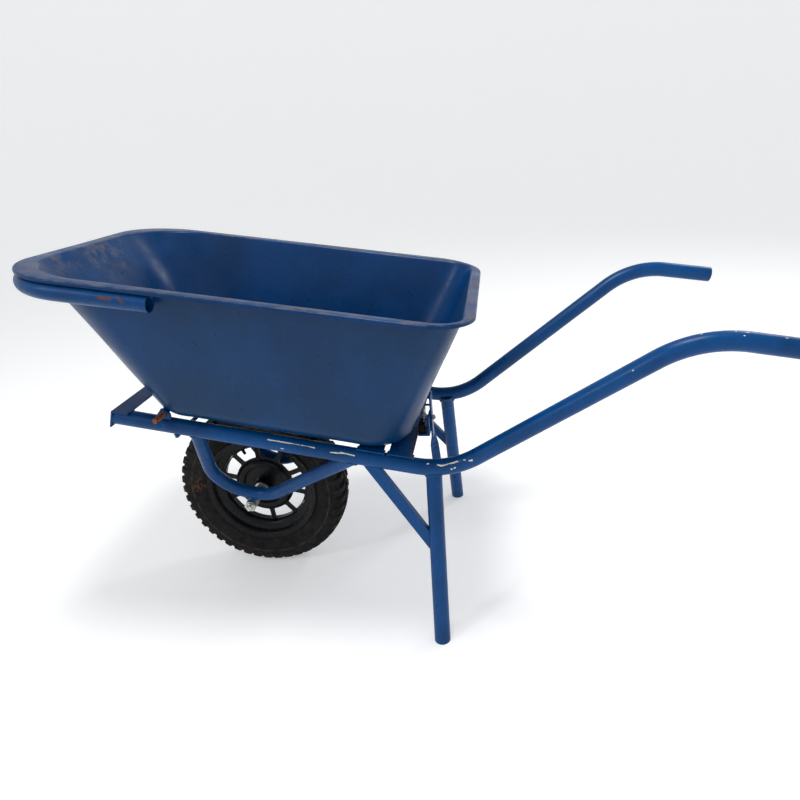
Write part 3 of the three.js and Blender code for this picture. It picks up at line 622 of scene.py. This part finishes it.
def forks():
    for name, side in SIDES:
        line = fork_stations(side)
        meet = hit_cylinder(on_rails(0, side * RAIL_Y, 0), RAIL_AXIS, PIPE + 0.2)
        leave = line[0][0] + line[0][1] * PIPE
        arrive = line[-1][0] - line[-1][1] * PIPE
        between = [s for s in line if clear_of_rail(s[0], side)]
        line = [(leave, line[0][1])] + between + [(arrive, line[-1][1])]
        verts, faces = tube(line, FORK, FORK_WALL, first=meet, last=meet)
        make(f"fork_{name}_pipe", verts, faces, pipe_blue, "frame_enamel", "frame", [f"fork_{name}"])
        loops = [tube_rings([line[0], line[1]], FORK, 40, first=meet)[0],
                 tube_rings([line[-2], line[-1]], FORK, 40, last=meet)[-1]]
        beads = [bead(resampled(loop, 0.9), 2.6, True) for loop in loops]
        verts, faces = merged(beads)
        make(f"fork_{name}_welds", verts, faces, weld_blue, "frame_enamel", "frame")


def clear_of_rail(p, side):
    w = p - on_rails(0, side * RAIL_Y, 0)
    w -= RAIL_AXIS * w.dot(RAIL_AXIS)
    return w.length > PIPE * 2.6


def legs():
    bend = bent_line([on_rails(ANGLE_INNER, RAIL_Y, 0), LOWER_BEND[0], UPPER_BEND[0]], [LOWER_BEND[1]])
    for name, side in SIDES:
        top, foot = sided(LEG_TOP, side), sided(LEG_FOOT, side)
        heading = (foot - top).normalized()
        crossing = min(bend, key=lambda s: (sided(s[0], side) - top).length)
        meet = hit_cylinder(sided(crossing[0], side), sided(crossing[1], side).normalized(), PIPE + 0.2)
        start = top + heading * PIPE
        steps = 40
        line = [(start.lerp(foot, k / steps), heading) for k in range(steps + 1)]
        verts, faces = tube(line, LEG, LEG_WALL, first=meet, last=hit_ground)
        make(f"leg_{name}_pipe", verts, faces, pipe_blue, "frame_enamel", "frame", [f"leg_{name}"])
        loop = tube_rings(line[:2], LEG, 40, first=meet)[0]
        verts, faces = bead(resampled(loop, 0.9), 3.0, True)
        make(f"leg_{name}_weld", verts, faces, weld_blue, "frame_enamel", "frame")


def line_bead(a, b, radius=2.2):
    steps = max(3, round((b - a).length / 0.9))
    wander = [Vector((noise.noise(Vector((k * 0.2, 3.3, a.x))), 0, 0)) * 0.5 for k in range(steps + 1)]
    return bead([a.lerp(b, k / steps) + wander[k] for k in range(steps + 1)], radius, False)


def frame_welds():
    """Beads where the cross members meet the rails, on their tops and undersides."""
    beads = []
    top = PIPE + 0.6
    for _, side in SIDES:
        inner, outer = side * (RAIL_Y - 11), side * (RAIL_Y + 7)
        for along in (297, 351, 359.5, 410):
            beads.append(line_bead(on_rails(along, inner, top), on_rails(along, outer, top)))
        for along in (-183, -87.5, -80.5):
            height = ANGLE_TOP + 2 if along < -100 else -top - 1
            low, high = sorted((inner, outer))
            beads.append(line_bead(on_rails(along, low, height), on_rails(along, high, height)))
    verts, faces = merged(beads)
    make("cross_member_welds", verts, faces, weld_blue, "frame_enamel", "frame")


# ---- Tray -------------------------------------------------------------------------------------


def rim_height(x):
    return RIM_Z + RIM_SLOPE * x


def floor_height(x):
    return RAIL_AXIS_Z + FLOOR_HEIGHT / math.cos(SLOPE) - x * math.tan(SLOPE)


CORNER_STEPS, SIDE_STEPS, END_STEPS = 18, 26, 14


def contour(shape, height):
    """A rounded rectangle, counted the same way on every level of the tray."""
    front, rear, half = shape["front"], shape["rear"], shape["half"]
    fr, rr = shape["front_radius"], shape["rear_radius"]
    corners = [(rear - rr, half - rr, rr), (front + fr, half - fr, fr),
               (front + fr, fr - half, fr), (rear - rr, rr - half, rr)]
    runs = (SIDE_STEPS, END_STEPS, SIDE_STEPS, END_STEPS)
    outline = []
    for quarter, (x, y, radius) in enumerate(corners):
        angles = [(quarter + k / CORNER_STEPS) * math.pi / 2 for k in range(CORNER_STEPS + 1)]
        outline.append([Vector((x + radius * math.cos(a), y + radius * math.sin(a), 0)) for a in angles])
    points = []
    for quarter, arc in enumerate(outline):
        points += arc
        after = outline[(quarter + 1) % 4][0]
        steps = runs[quarter]
        points += [arc[-1].lerp(after, k / steps) for k in range(1, steps)]
    return [Vector((p.x, p.y, height(p.x))) for p in points]


def fillet(corner, first, last, radius, steps):
    half = first.angle(last) / 2
    centre = corner + (first + last).normalized() * (radius / math.sin(half))
    reach = radius / math.tan(half)
    start, end = corner + first * reach - centre, corner + last * reach - centre
    turn = start.angle(end)
    sine = math.sin(turn)
    return [centre + start * (math.sin(turn - turn * k / steps) / sine)
            + end * (math.sin(turn * k / steps) / sine) for k in range(steps + 1)]


def inner_floor():
    return dict(front=FLOOR["front"] + 60, rear=FLOOR["rear"] - 60, half=FLOOR["half"] - 60,
                front_radius=18, rear_radius=34)


WALL_STEPS = 26


def tray_lines():
    """One line for each place round the tray, from the floor over the wall to the lip."""
    foot, top, rim = contour(FLOOR, floor_height), contour(WALL_TOP, rim_height), contour(RIM, rim_height)
    inside = contour(inner_floor(), floor_height)
    lines = []
    for f, t, r, i in zip(foot, top, rim, inside):
        inward, wall = (i - f).normalized(), (t - f).normalized()
        outward = (r - t).normalized()
        lower = fillet(f, inward, wall, 44, 10)
        upper = fillet(t, -wall, outward, 8, 7)
        lip = fillet(r, -outward, Vector((0, 0, -1)), 4, 5)
        rise = [lower[-1].lerp(upper[0], k / WALL_STEPS) for k in range(1, WALL_STEPS)]
        flat = [i.lerp(lower[0], k / 8) for k in range(8)]
        edge = r + Vector((0, 0, -7))
        lines.append(flat + lower + rise + upper + lip + [edge])
    return lines


def sheet_wave(p):
    """The slight unevenness of pressed sheet, in millimetres."""
    broad = noise.noise(Vector((p.x, p.y, p.z)) * 0.0065) * 1.3
    return broad + noise.noise(Vector((p.x, p.y, p.z)) * 0.021 + Vector((5, 1, 2))) * 0.35


def tray():
    lines = tray_lines()
    levels = [[line[i] for line in lines] for i in range(len(lines[0]))]
    count = len(lines)
    middle = sum((p for p in levels[0]), Vector()) / count
    normals = []
    for i, level in enumerate(levels):
        above, below = levels[min(i + 1, len(levels) - 1)], levels[max(i - 1, 0)]
        normals.append([(level[(k + 1) % count] - level[k - 1]).cross(above[k] - below[k]).normalized()
                        for k in range(count)])
    sheet_end = 8 + 11 + WALL_STEPS
    upper, under = [], []
    for i, (level, normal) in enumerate(zip(levels, normals)):
        fade = max(0, min(1, (i - 2) / 6, (sheet_end - i) / 8))
        moved = [p + n * sheet_wave(p) * fade for p, n in zip(level, normal)]
        upper.append(moved)
        under.append([p + n * SHEET for p, n in zip(moved, normal)])
    down = Vector((-math.sin(SLOPE), 0, -math.cos(SLOPE)))
    verts, faces = stitch(under[::-1] + upper)
    faces = [f[::-1] for f in faces]
    first, last = (len(under) - 1) * count, len(under) * count
    # The floor's middle is filled by rings that shrink towards its centre
    for base, drop in ((first, SHEET), (last, 0)):
        ring = list(range(base, base + count))
        centre = middle + down * drop
        for k in (0.75, 0.5, 0.25):
            start = len(verts)
            verts += [centre.lerp(levels[0][i] + down * drop, k) for i in range(count)]
            fresh = list(range(start, start + count))
            after = [(i + 1) % count for i in range(count)]
            faces += [(ring[i], ring[j], fresh[j], fresh[i]) for i, j in enumerate(after)]
            ring = fresh
        verts.append(centre)
        faces += [(ring[i], ring[(i + 1) % count], len(verts) - 1) for i in range(count)]
    top_edge, low_edge = (2 * len(under) - 1) * count, 0
    faces += [(top_edge + k, top_edge + (k + 1) % count, low_edge + (k + 1) % count, low_edge + k)
              for k in range(count)]
    make("tray_sheet", [at(*v) for v in verts], faces, tray_blue, "tray_enamel", "tray", ["tray_shell"], 60)


def bumper():
    def under(x, y):
        return Vector((x, y, rim_height(x) - BUMPER["drop"]))
    front, half, end, radius = (BUMPER[k] for k in ("front", "half", "end", "radius"))
    line = bent_line([under(end, -half), under(front, -half), under(front, half), under(end, half)],
                     [radius, radius], arc_steps=36)
    verts, faces = tube(line, PIPE, PIPE_WALL, sides=44)
    make("bumper_pipe", verts, faces, bumper_blue, "frame_enamel", "tray", ["bumper_tube"])
    beads = []
    for side in (-1, 1):
        for x in (-40, -150, -262):
            y = side * (half - PIPE * 0.72)
            a, b = under(x, y) + Vector((0, 0, 12)), under(x + 26, y) + Vector((0, 0, 12))
            beads.append(line_bead(a, b, 2.4))
        beads.append(line_bead(under(end - 1, side * (half - 14)) + Vector((0, 0, 6)),
                               under(end - 1, side * (half - 5)) + Vector((0, 0, 14)), 2.6))
    verts, faces = merged(beads)
    make("bumper_welds", verts, faces, weld_blue, "frame_enamel", "tray")


# ---- Wheel --------------------------------------------------------------------------------------


def lathe(profile, segments, closed=True, shift=None):
    """A ring of [radius, y] points turned about the axle; shift moves each point outward."""
    rings = []
    for s in range(segments):
        angle = 2 * math.pi * s / segments
        ring = []
        for radius, y in profile:
            r = radius + (shift(angle, radius, y) if shift else 0)
            along, up = r * MM * math.cos(angle), r * MM * math.sin(angle)
            ring.append(Vector((AXLE_X + along, y * MM, AXLE_Z + up)))
        rings.append(ring)
    return stitch(rings, closed_stack=closed)


def smooth_profile(points, steps=5):
    """A rounded open curve through the points."""
    padded = [points[0]] + list(points) + [points[-1]]
    result = []
    for a, b, c, d in zip(padded, padded[1:], padded[2:], padded[3:]):
        for k in range(steps):
            t = k / steps
            result.append(tuple(0.5 * (2 * b[i] + (c[i] - a[i]) * t + (2 * a[i] - 5 * b[i] + 4 * c[i] - d[i])
                                * t * t + (3 * b[i] - a[i] - 3 * c[i] + d[i]) * t ** 3) for i in (0, 1)))
    return result + [tuple(points[-1])]


BLOCKS, TREAD_DEPTH = 46, 6.2


def edge(value, soft):
    """0 at the edge of a block, 1 once inside by the soft width."""
    return max(0.0, min(1.0, value / soft))


def tread(angle, radius, y):
    """How far the rubber is cut back from the tyre's outer surface."""
    if radius < 181:
        return -1.6 * edge(radius - 170, 3) * edge(176 - radius, 3)
    turn = angle / (2 * math.pi) * BLOCKS
    side = 0.5 if y > 0 else 0.0
    across = abs(y)
    slant = across * 0.012
    phase = (turn + side + slant) % 1
    shoulder = edge(phase - 0.0, 0.07) * edge(0.66 - phase, 0.07)
    centre_phase = (turn * 0.5 + side - across * 0.02) % 1
    centre = edge(centre_phase, 0.04) * edge(0.86 - centre_phase, 0.04)
    groove = edge(abs(across - 12) - 2.2, 1.2)
    block = centre if across < 12 else shoulder
    fade = edge(radius - 181, 5)
    return -TREAD_DEPTH * (1 - block * groove) * fade


def tyre():
    outer = [(208.4, 0), (207.9, 12), (205.8, 24), (202, 33.5), (194, 40.6), (184, 42.6), (172, 43.4),
             (160, 42.6), (150, 41), (141, 36.6), (134, 32), (127.8, 30)]
    curve = smooth_profile(outer, 6)
    half = [(min(r, 208.45), min(y, 43.45)) for r, y in curve]
    profile = [(r, -y) for r, y in half[::-1]] + half[1:]
    inner = [(127.8, 20), (134, 20), (139, 28), (155, 37), (180, 36), (194, 26)]
    profile += inner + [(r, -y) for r, y in inner[::-1]]
    verts, faces = lathe(profile, BLOCKS * 12, shift=tread)
    make("tyre_rubber", verts, faces, tyre_black, "tyre_rubber", "wheel", ["tyre"], 32)


def rim():
    outer = [(138, 37), (136.6, 35.6), (135.6, 34), (131, 31.6), (127, 30.2), (126, 27), (125.6, 21),
             (124.5, 19), (120, 17), (112, 13.6), (108.6, 11.6), (108.2, 6), (108.2, 0)]
    inner = [(106, 0), (106, 12), (108, 14.4), (115, 17.6), (122.5, 20.6), (123.4, 23), (124.2, 31),
             (126, 33.6), (131, 35.6), (134.6, 37.6), (136.4, 38.2)]
    profile = outer + [(r, -y) for r, y in outer[-2::-1]] + [(r, -y) for r, y in inner[::-1]] + inner[1:]
    verts, faces = lathe(profile, 144)
    make("wheel_rim_ring", verts, faces, disc_black, "black_enamel", "wheel", ["wheel_rim"], 38)


def window_cutter():
    """Ten rounded windows as one solid."""
    parts = []
    for k in range(WINDOWS):
        start = math.radians(FIRST_SPOKE + 360 / WINDOWS * k)
        end = start + 2 * math.pi / WINDOWS
        outline = rounded_window(start, end)
        rings = [[Vector((AXLE_X + x * MM, y * MM, AXLE_Z + z * MM)) for x, z in outline] for y in (-14, 4)]
        parts.append(stitch(rings, closed_ends=True))
    return merged(parts)


def rounded_window(start, end, round_radius=4.5):
    """The window's outline with rounded corners, as points about the axle."""
    def corner(radius, angle):
        return Vector((radius * math.cos(angle), radius * math.sin(angle)))
    inner, outer = math.asin(HALF_SPOKE / WINDOW_IN), math.asin(HALF_SPOKE / WINDOW_OUT)
    arc = [corner(WINDOW_OUT, start + outer + (end - start - 2 * outer) * k / 10) for k in range(11)]
    low = [corner(WINDOW_IN, end - inner - (end - start - 2 * inner) * k / 6) for k in range(7)]
    loop = arc + low
    result = []
    sharp = {0, 10, 11, 17}
    for i, p in enumerate(loop):
        if i not in sharp:
            result.append(p)
            continue
        a = (loop[i - 1] - p).normalized()
        b = (loop[(i + 1) % len(loop)] - p).normalized()
        first, last = p + a * round_radius, p + b * round_radius
        for k in range(6):
            t = k / 5
            result.append(first * (1 - t) ** 2 + p * 2 * t * (1 - t) + last * t * t)
    return [(p.x, p.y) for p in result]


def disc():
    section = [(105, -4), (105, 11), (102.5, 11), (102.5, 1), (100.5, -1), (72, -1), (69, -2), (65, -7.6),
               (62, -9), (54, -9), (51, -6), (48, -3), (20.8, -3), (20.8, -6), (48.5, -6), (50.5, -8.6),
               (52, -11), (54.5, -12), (62, -12), (65, -11), (69.5, -5), (71.5, -4)]
    cutter_verts, cutter_faces = window_cutter()
    cutter = bpy.data.meshes.new("windows")
    cutter.from_pydata([tuple(v) for v in cutter_verts], [], cutter_faces)
    bm = bmesh.new()
    bm.from_mesh(cutter)
    bmesh.ops.recalc_face_normals(bm, faces=bm.faces)
    bm.to_mesh(cutter)
    bm.free()
    tool = bpy.data.objects.new("windows", cutter)
    bpy.context.scene.collection.objects.link(tool)
    verts, faces = lathe(section, 120)
    plain = make("wheel_disc_plain", verts, faces, disc_black, "black_enamel", "wheel")
    carve = plain.modifiers.new("carve", "BOOLEAN")
    carve.operation, carve.object, carve.solver = "DIFFERENCE", tool, "EXACT"
    bpy.context.view_layer.update()
    result = plain.evaluated_get(bpy.context.evaluated_depsgraph_get()).to_mesh()
    carved = [v.co.copy() for v in result.vertices], [tuple(p.vertices) for p in result.polygons]
    bpy.data.objects.remove(plain)
    bpy.data.objects.remove(tool)
    piece = make("wheel_disc_pressing", *carved, disc_black, "black_enamel", "wheel", ["wheel_disc"], 35)
    soften(piece, 0.5, 2)


def hub():
    section = [(20.5, -30.4), (19.9, -31), (17.8, -31), (17.8, -19.4), (15.5, -19.4), (15.5, 19.4),
               (17.8, 19.4), (17.8, 31), (19.9, 31), (20.5, 30.4)]
    verts, faces = lathe(section, 72)
    make("wheel_hub_tube", verts, faces, disc_black, "black_enamel", "wheel", ["wheel_hub"])
    for name, side in SIDES:
        face = [(17.5, 30.7), (15.6, 30.7), (15.2, 30.2), (10.6, 30.2), (10.2, 30.7), (7.66, 30.7),
                (7.66, 19.7), (17.5, 19.7)]
        verts, faces = lathe([(r, y * side) for r, y in face], 64)
        make(f"bearing_{name}_race", verts, faces, zinc_grey, "zinc_steel", "wheel", [f"bearing_{name}"])


def valve():
    """The stem with its screwed cap and ridges, which points in from the rim's well."""
    angle = math.radians(112)
    up = Vector((math.cos(angle), 0, math.sin(angle)))
    base = Vector((0, -8.5, 208.5))
    steps = [(112, 3.9), (97, 3.9), (96, 3.0), (95.2, 3.0), (95.2, 3.6), (93.5, 3.7)]
    steps += [(92, 3.4), (92, 3.7)] + [(89, 3.7), (89, 3.2)]
    side = Vector((0, 1, 0))
    other = up.cross(side)
    rings = []
    for distance, radius in steps:
        radius = min(radius, 3.9)
        angles = [2 * math.pi * k / 24 for k in range(24)]
        centre = base + up * max(distance, 92.1 if distance < 92 else distance)
        rings.append([at(*(centre + (side * math.cos(t) + other * math.sin(t)) * radius)) for t in angles])
    verts, faces = stitch(rings[:7], closed_ends=True)
    make("valve_stem_rubber", verts, faces, plain_black, "plain_rubber", "wheel", ["valve_stem"])


# ---- Axle, spring and latch ---------------------------------------------------------------------------


def axle():
    """A plain shaft with rolled threads on its ends."""
    half = [(7.5, 0), (7.5, 94)]
    y = 95.0
    while y < 116.5:
        half += [(6.9, y), (7.5, y + 0.6), (7.5, y + 0.75)]
        y += 1.35
    half += [(7.2, 117.2), (6.4, 118)]
    profile = [(0, -118)] + [(r, -y) for r, y in half[::-1]] + half[1:] + [(0, 118)]
    verts, faces = lathe(profile, 48)
    loops = len(profile)
    faces = [f for f in faces if not (f[0] % loops == loops - 1)]
    make("axle_shaft", verts, faces, zinc_grey, "zinc_steel", "frame", ["axle"])


def spring():
    low = Vector((SPRING_X, *SPRING_LOW))
    high = Vector((SPRING_X, *SPRING_TOP))
    along = (high - low).normalized()
    a = Vector((1, 0, 0))
    b = along.cross(a)
    length = (high - low).length
    turns, wire, radius, steps = 9, 0.7, 3.75, 26
    hook_steps, hook_radius, hook_start, body_start = 18, 1.9, 1.5, 3.6

    def hook(end, inward):
        """Three quarters of a small loop beyond the coil's body."""
        loop = []
        for k in range(hook_steps):
            t = math.pi * 1.5 * k / hook_steps
            out = radius - hook_radius + hook_radius * math.cos(t)
            loop.append(end + inward * (hook_start - hook_radius * math.sin(t)) + b * out * 0.5)
        return loop

    points = hook(low, along)
    total = turns * steps
    for k in range(total + 1):
        t = 2 * math.pi * k / steps
        axis = low + along * (body_start + (length - 2 * body_start) * k / total)
        points.append(axis + (a * math.sin(t) + b * math.cos(t)) * radius)
    points += hook(high, -along)
    stations = [(p, (points[min(i + 1, len(points) - 1)] - points[max(i - 1, 0)]).normalized())
                for i, p in enumerate(points)]
    rings = tube_rings(stations, wire, 10)
    verts, faces = stitch(rings, closed_ends=True)
    coil = make("latch_spring_coil", [at(*v) for v in verts], faces, zinc_grey, "zinc_steel", None,
                ["latch_spring"])
    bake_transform(coil)


def soften(piece, width, segments=2):
    """Rounds an edge's corners without changing the mesh below."""
    bevel = piece.modifiers.new("rounding", "BEVEL")
    bevel.width = width * MM
    bevel.segments = segments
    bevel.limit_method = "ANGLE"
    bevel.angle_limit = math.radians(32)
    bevel.use_clamp_overlap = True
    bevel.harden_normals = False


CAD_LOOKS = {
    "front_cross_angle": (plate_blue, 0.8), "mid_cross_bar": (plate_blue, 0.6),
    "tray_support_bar": (plate_blue, 0.6), "rear_cross_plate": (plate_blue, 0.5),
    "leg_brace_left": (plate_blue, 0.6), "leg_brace_right": (plate_blue, 0.6),
    "axle_sleeve_left": (zinc_grey, 0.6), "axle_sleeve_right": (zinc_grey, 0.6),
    "axle_lock_nut_left": (zinc_grey, 0.5), "axle_lock_nut_right": (zinc_grey, 0.5),
    "axle_washer_left": (zinc_grey, 0.3), "axle_washer_right": (zinc_grey, 0.3),
    "axle_nut_left": (zinc_grey, 0.6), "axle_nut_right": (zinc_grey, 0.6),
    "pivot_lug_left": (plate_blue, 0.5), "pivot_lug_right": (plate_blue, 0.5),
    "pivot_pin_left": (rust_brown, 0.6), "pivot_pin_right": (rust_brown, 0.6),
    "latch_bracket": (plate_blue, 0.5), "latch_pad": (plain_black, 1.2),
    "latch_bolt": (zinc_grey, 0.3),
    "latch_nut": (zinc_grey, 0.4), "inner_tube": (plain_black, 0), "bearing_spacer": (zinc_grey, 0.3),
    "tray_hinge_ear_left": (plate_blue, 0.5), "tray_hinge_ear_right": (plate_blue, 0.5),
    "tray_catch_pin": (plate_blue, 0.4), "latch_lever": (plate_blue, 0.5),
}


def dress_cad():
    """The remaining CAD nodes keep their shape, with eased edges and a finished surface."""
    for name, (material, width) in CAD_LOOKS.items():
        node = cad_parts[name]
        node.data.materials.clear()
        node.data.materials.append(material)
        if width:
            weld = node.modifiers.new("joined", "WELD")
            weld.merge_threshold = 1e-5
            soften(node, width)


# ---- Stage, light and camera ------------------------------------------------------------


def stage():
    """A pale floor that curves up far around the object."""
    flat, curve, sides, steps = 6, 5, 64, 12
    turns = [math.pi / 2 * k / steps for k in range(1, steps + 1)]
    profile = [(2, 0), (4, 0), (flat, 0)]
    profile += [(flat + curve * math.sin(a), curve - curve * math.cos(a)) for a in turns]
    angles = [2 * math.pi * k / sides for k in range(sides)]
    rings = [[Vector((radius * math.cos(a), radius * math.sin(a), z)) for a in angles]
             for radius, z in profile]
    verts, faces = stitch(rings)
    verts.append(Vector((0, 0, 0)))
    faces += [(len(verts) - 1, (k + 1) % sides, k) for k in range(sides)]
    faces = [f[::-1] for f in faces]
    mesh = bpy.data.meshes.new("floor")
    mesh.from_pydata([tuple(v) for v in verts], [], faces)
    for polygon in mesh.polygons:
        polygon.use_smooth = True
    floor = bpy.data.objects.new("floor", mesh)
    bpy.context.scene.collection.objects.link(floor)
    material = bpy.data.materials.new("floor")
    material.use_nodes = True
    shader = material.node_tree.nodes["Principled BSDF"]
    shader.inputs["Base Color"].default_value = (0.86, 0.86, 0.86, 1)
    shader.inputs["Roughness"].default_value = 0.9
    shader.inputs["Specular IOR Level"].default_value = 0.1
    shader.inputs["Emission Color"].default_value = (1, 1, 1, 1)
    shader.inputs["Emission Strength"].default_value = 0.3
    mesh.materials.append(material)


def area_light(name, place, target, size, power):
    data = bpy.data.lights.new(name, "AREA")
    data.shape, data.size, data.energy = "DISK", size, power
    lamp = bpy.data.objects.new(name, data)
    bpy.context.scene.collection.objects.link(lamp)
    lamp.location = place
    lamp.rotation_mode = "QUATERNION"
    lamp.rotation_quaternion = (Vector(target) - Vector(place)).to_track_quat("-Z", "Y")


def lights():
    world = bpy.data.worlds.new("sky")
    world.use_nodes = True
    back = world.node_tree.nodes["Background"]
    back.inputs["Color"].default_value = (0.94, 0.97, 1.0, 1)
    back.inputs["Strength"].default_value = 0.5
    bpy.context.scene.world = world
    area_light("overhead", (-0.1, -0.3, 3.0), (0, 0, 0.4), 0.8, 44)
    area_light("near_left", (-2.4, -2.2, 2.6), (0, 0, 0.5), 0.7, 20)
    area_light("rear_right", (2.2, 2.4, 2.6), (0, 0, 0.5), 0.7, 20)


def camera():
    data = bpy.data.cameras.new("camera")
    data.sensor_width, data.lens = 36, 28.41
    data.dof.use_dof = False
    data.clip_start, data.clip_end = 0.02, 60
    eye = bpy.data.objects.new("camera", data)
    bpy.context.scene.collection.objects.link(eye)
    right = Vector((0.98689, 0.13800, -0.08374))
    up = Vector((0.02346, 0.39064, 0.92025))
    look = Vector((-0.15971, 0.91014, -0.38228))
    turn = Matrix((right, up, -look)).transposed().to_4x4()
    eye.matrix_world = Matrix.Translation(at(585.02, -1302.36, 969.72)) @ turn
    bpy.context.scene.camera = eye


rails()
forks()
legs()
frame_welds()
tray()
bumper()
tyre()
rim()
disc()
hub()
valve()
axle()
spring()
dress_cad()
stage()
lights()
camera()
bpy.context.scene.view_settings.view_transform = "Standard"
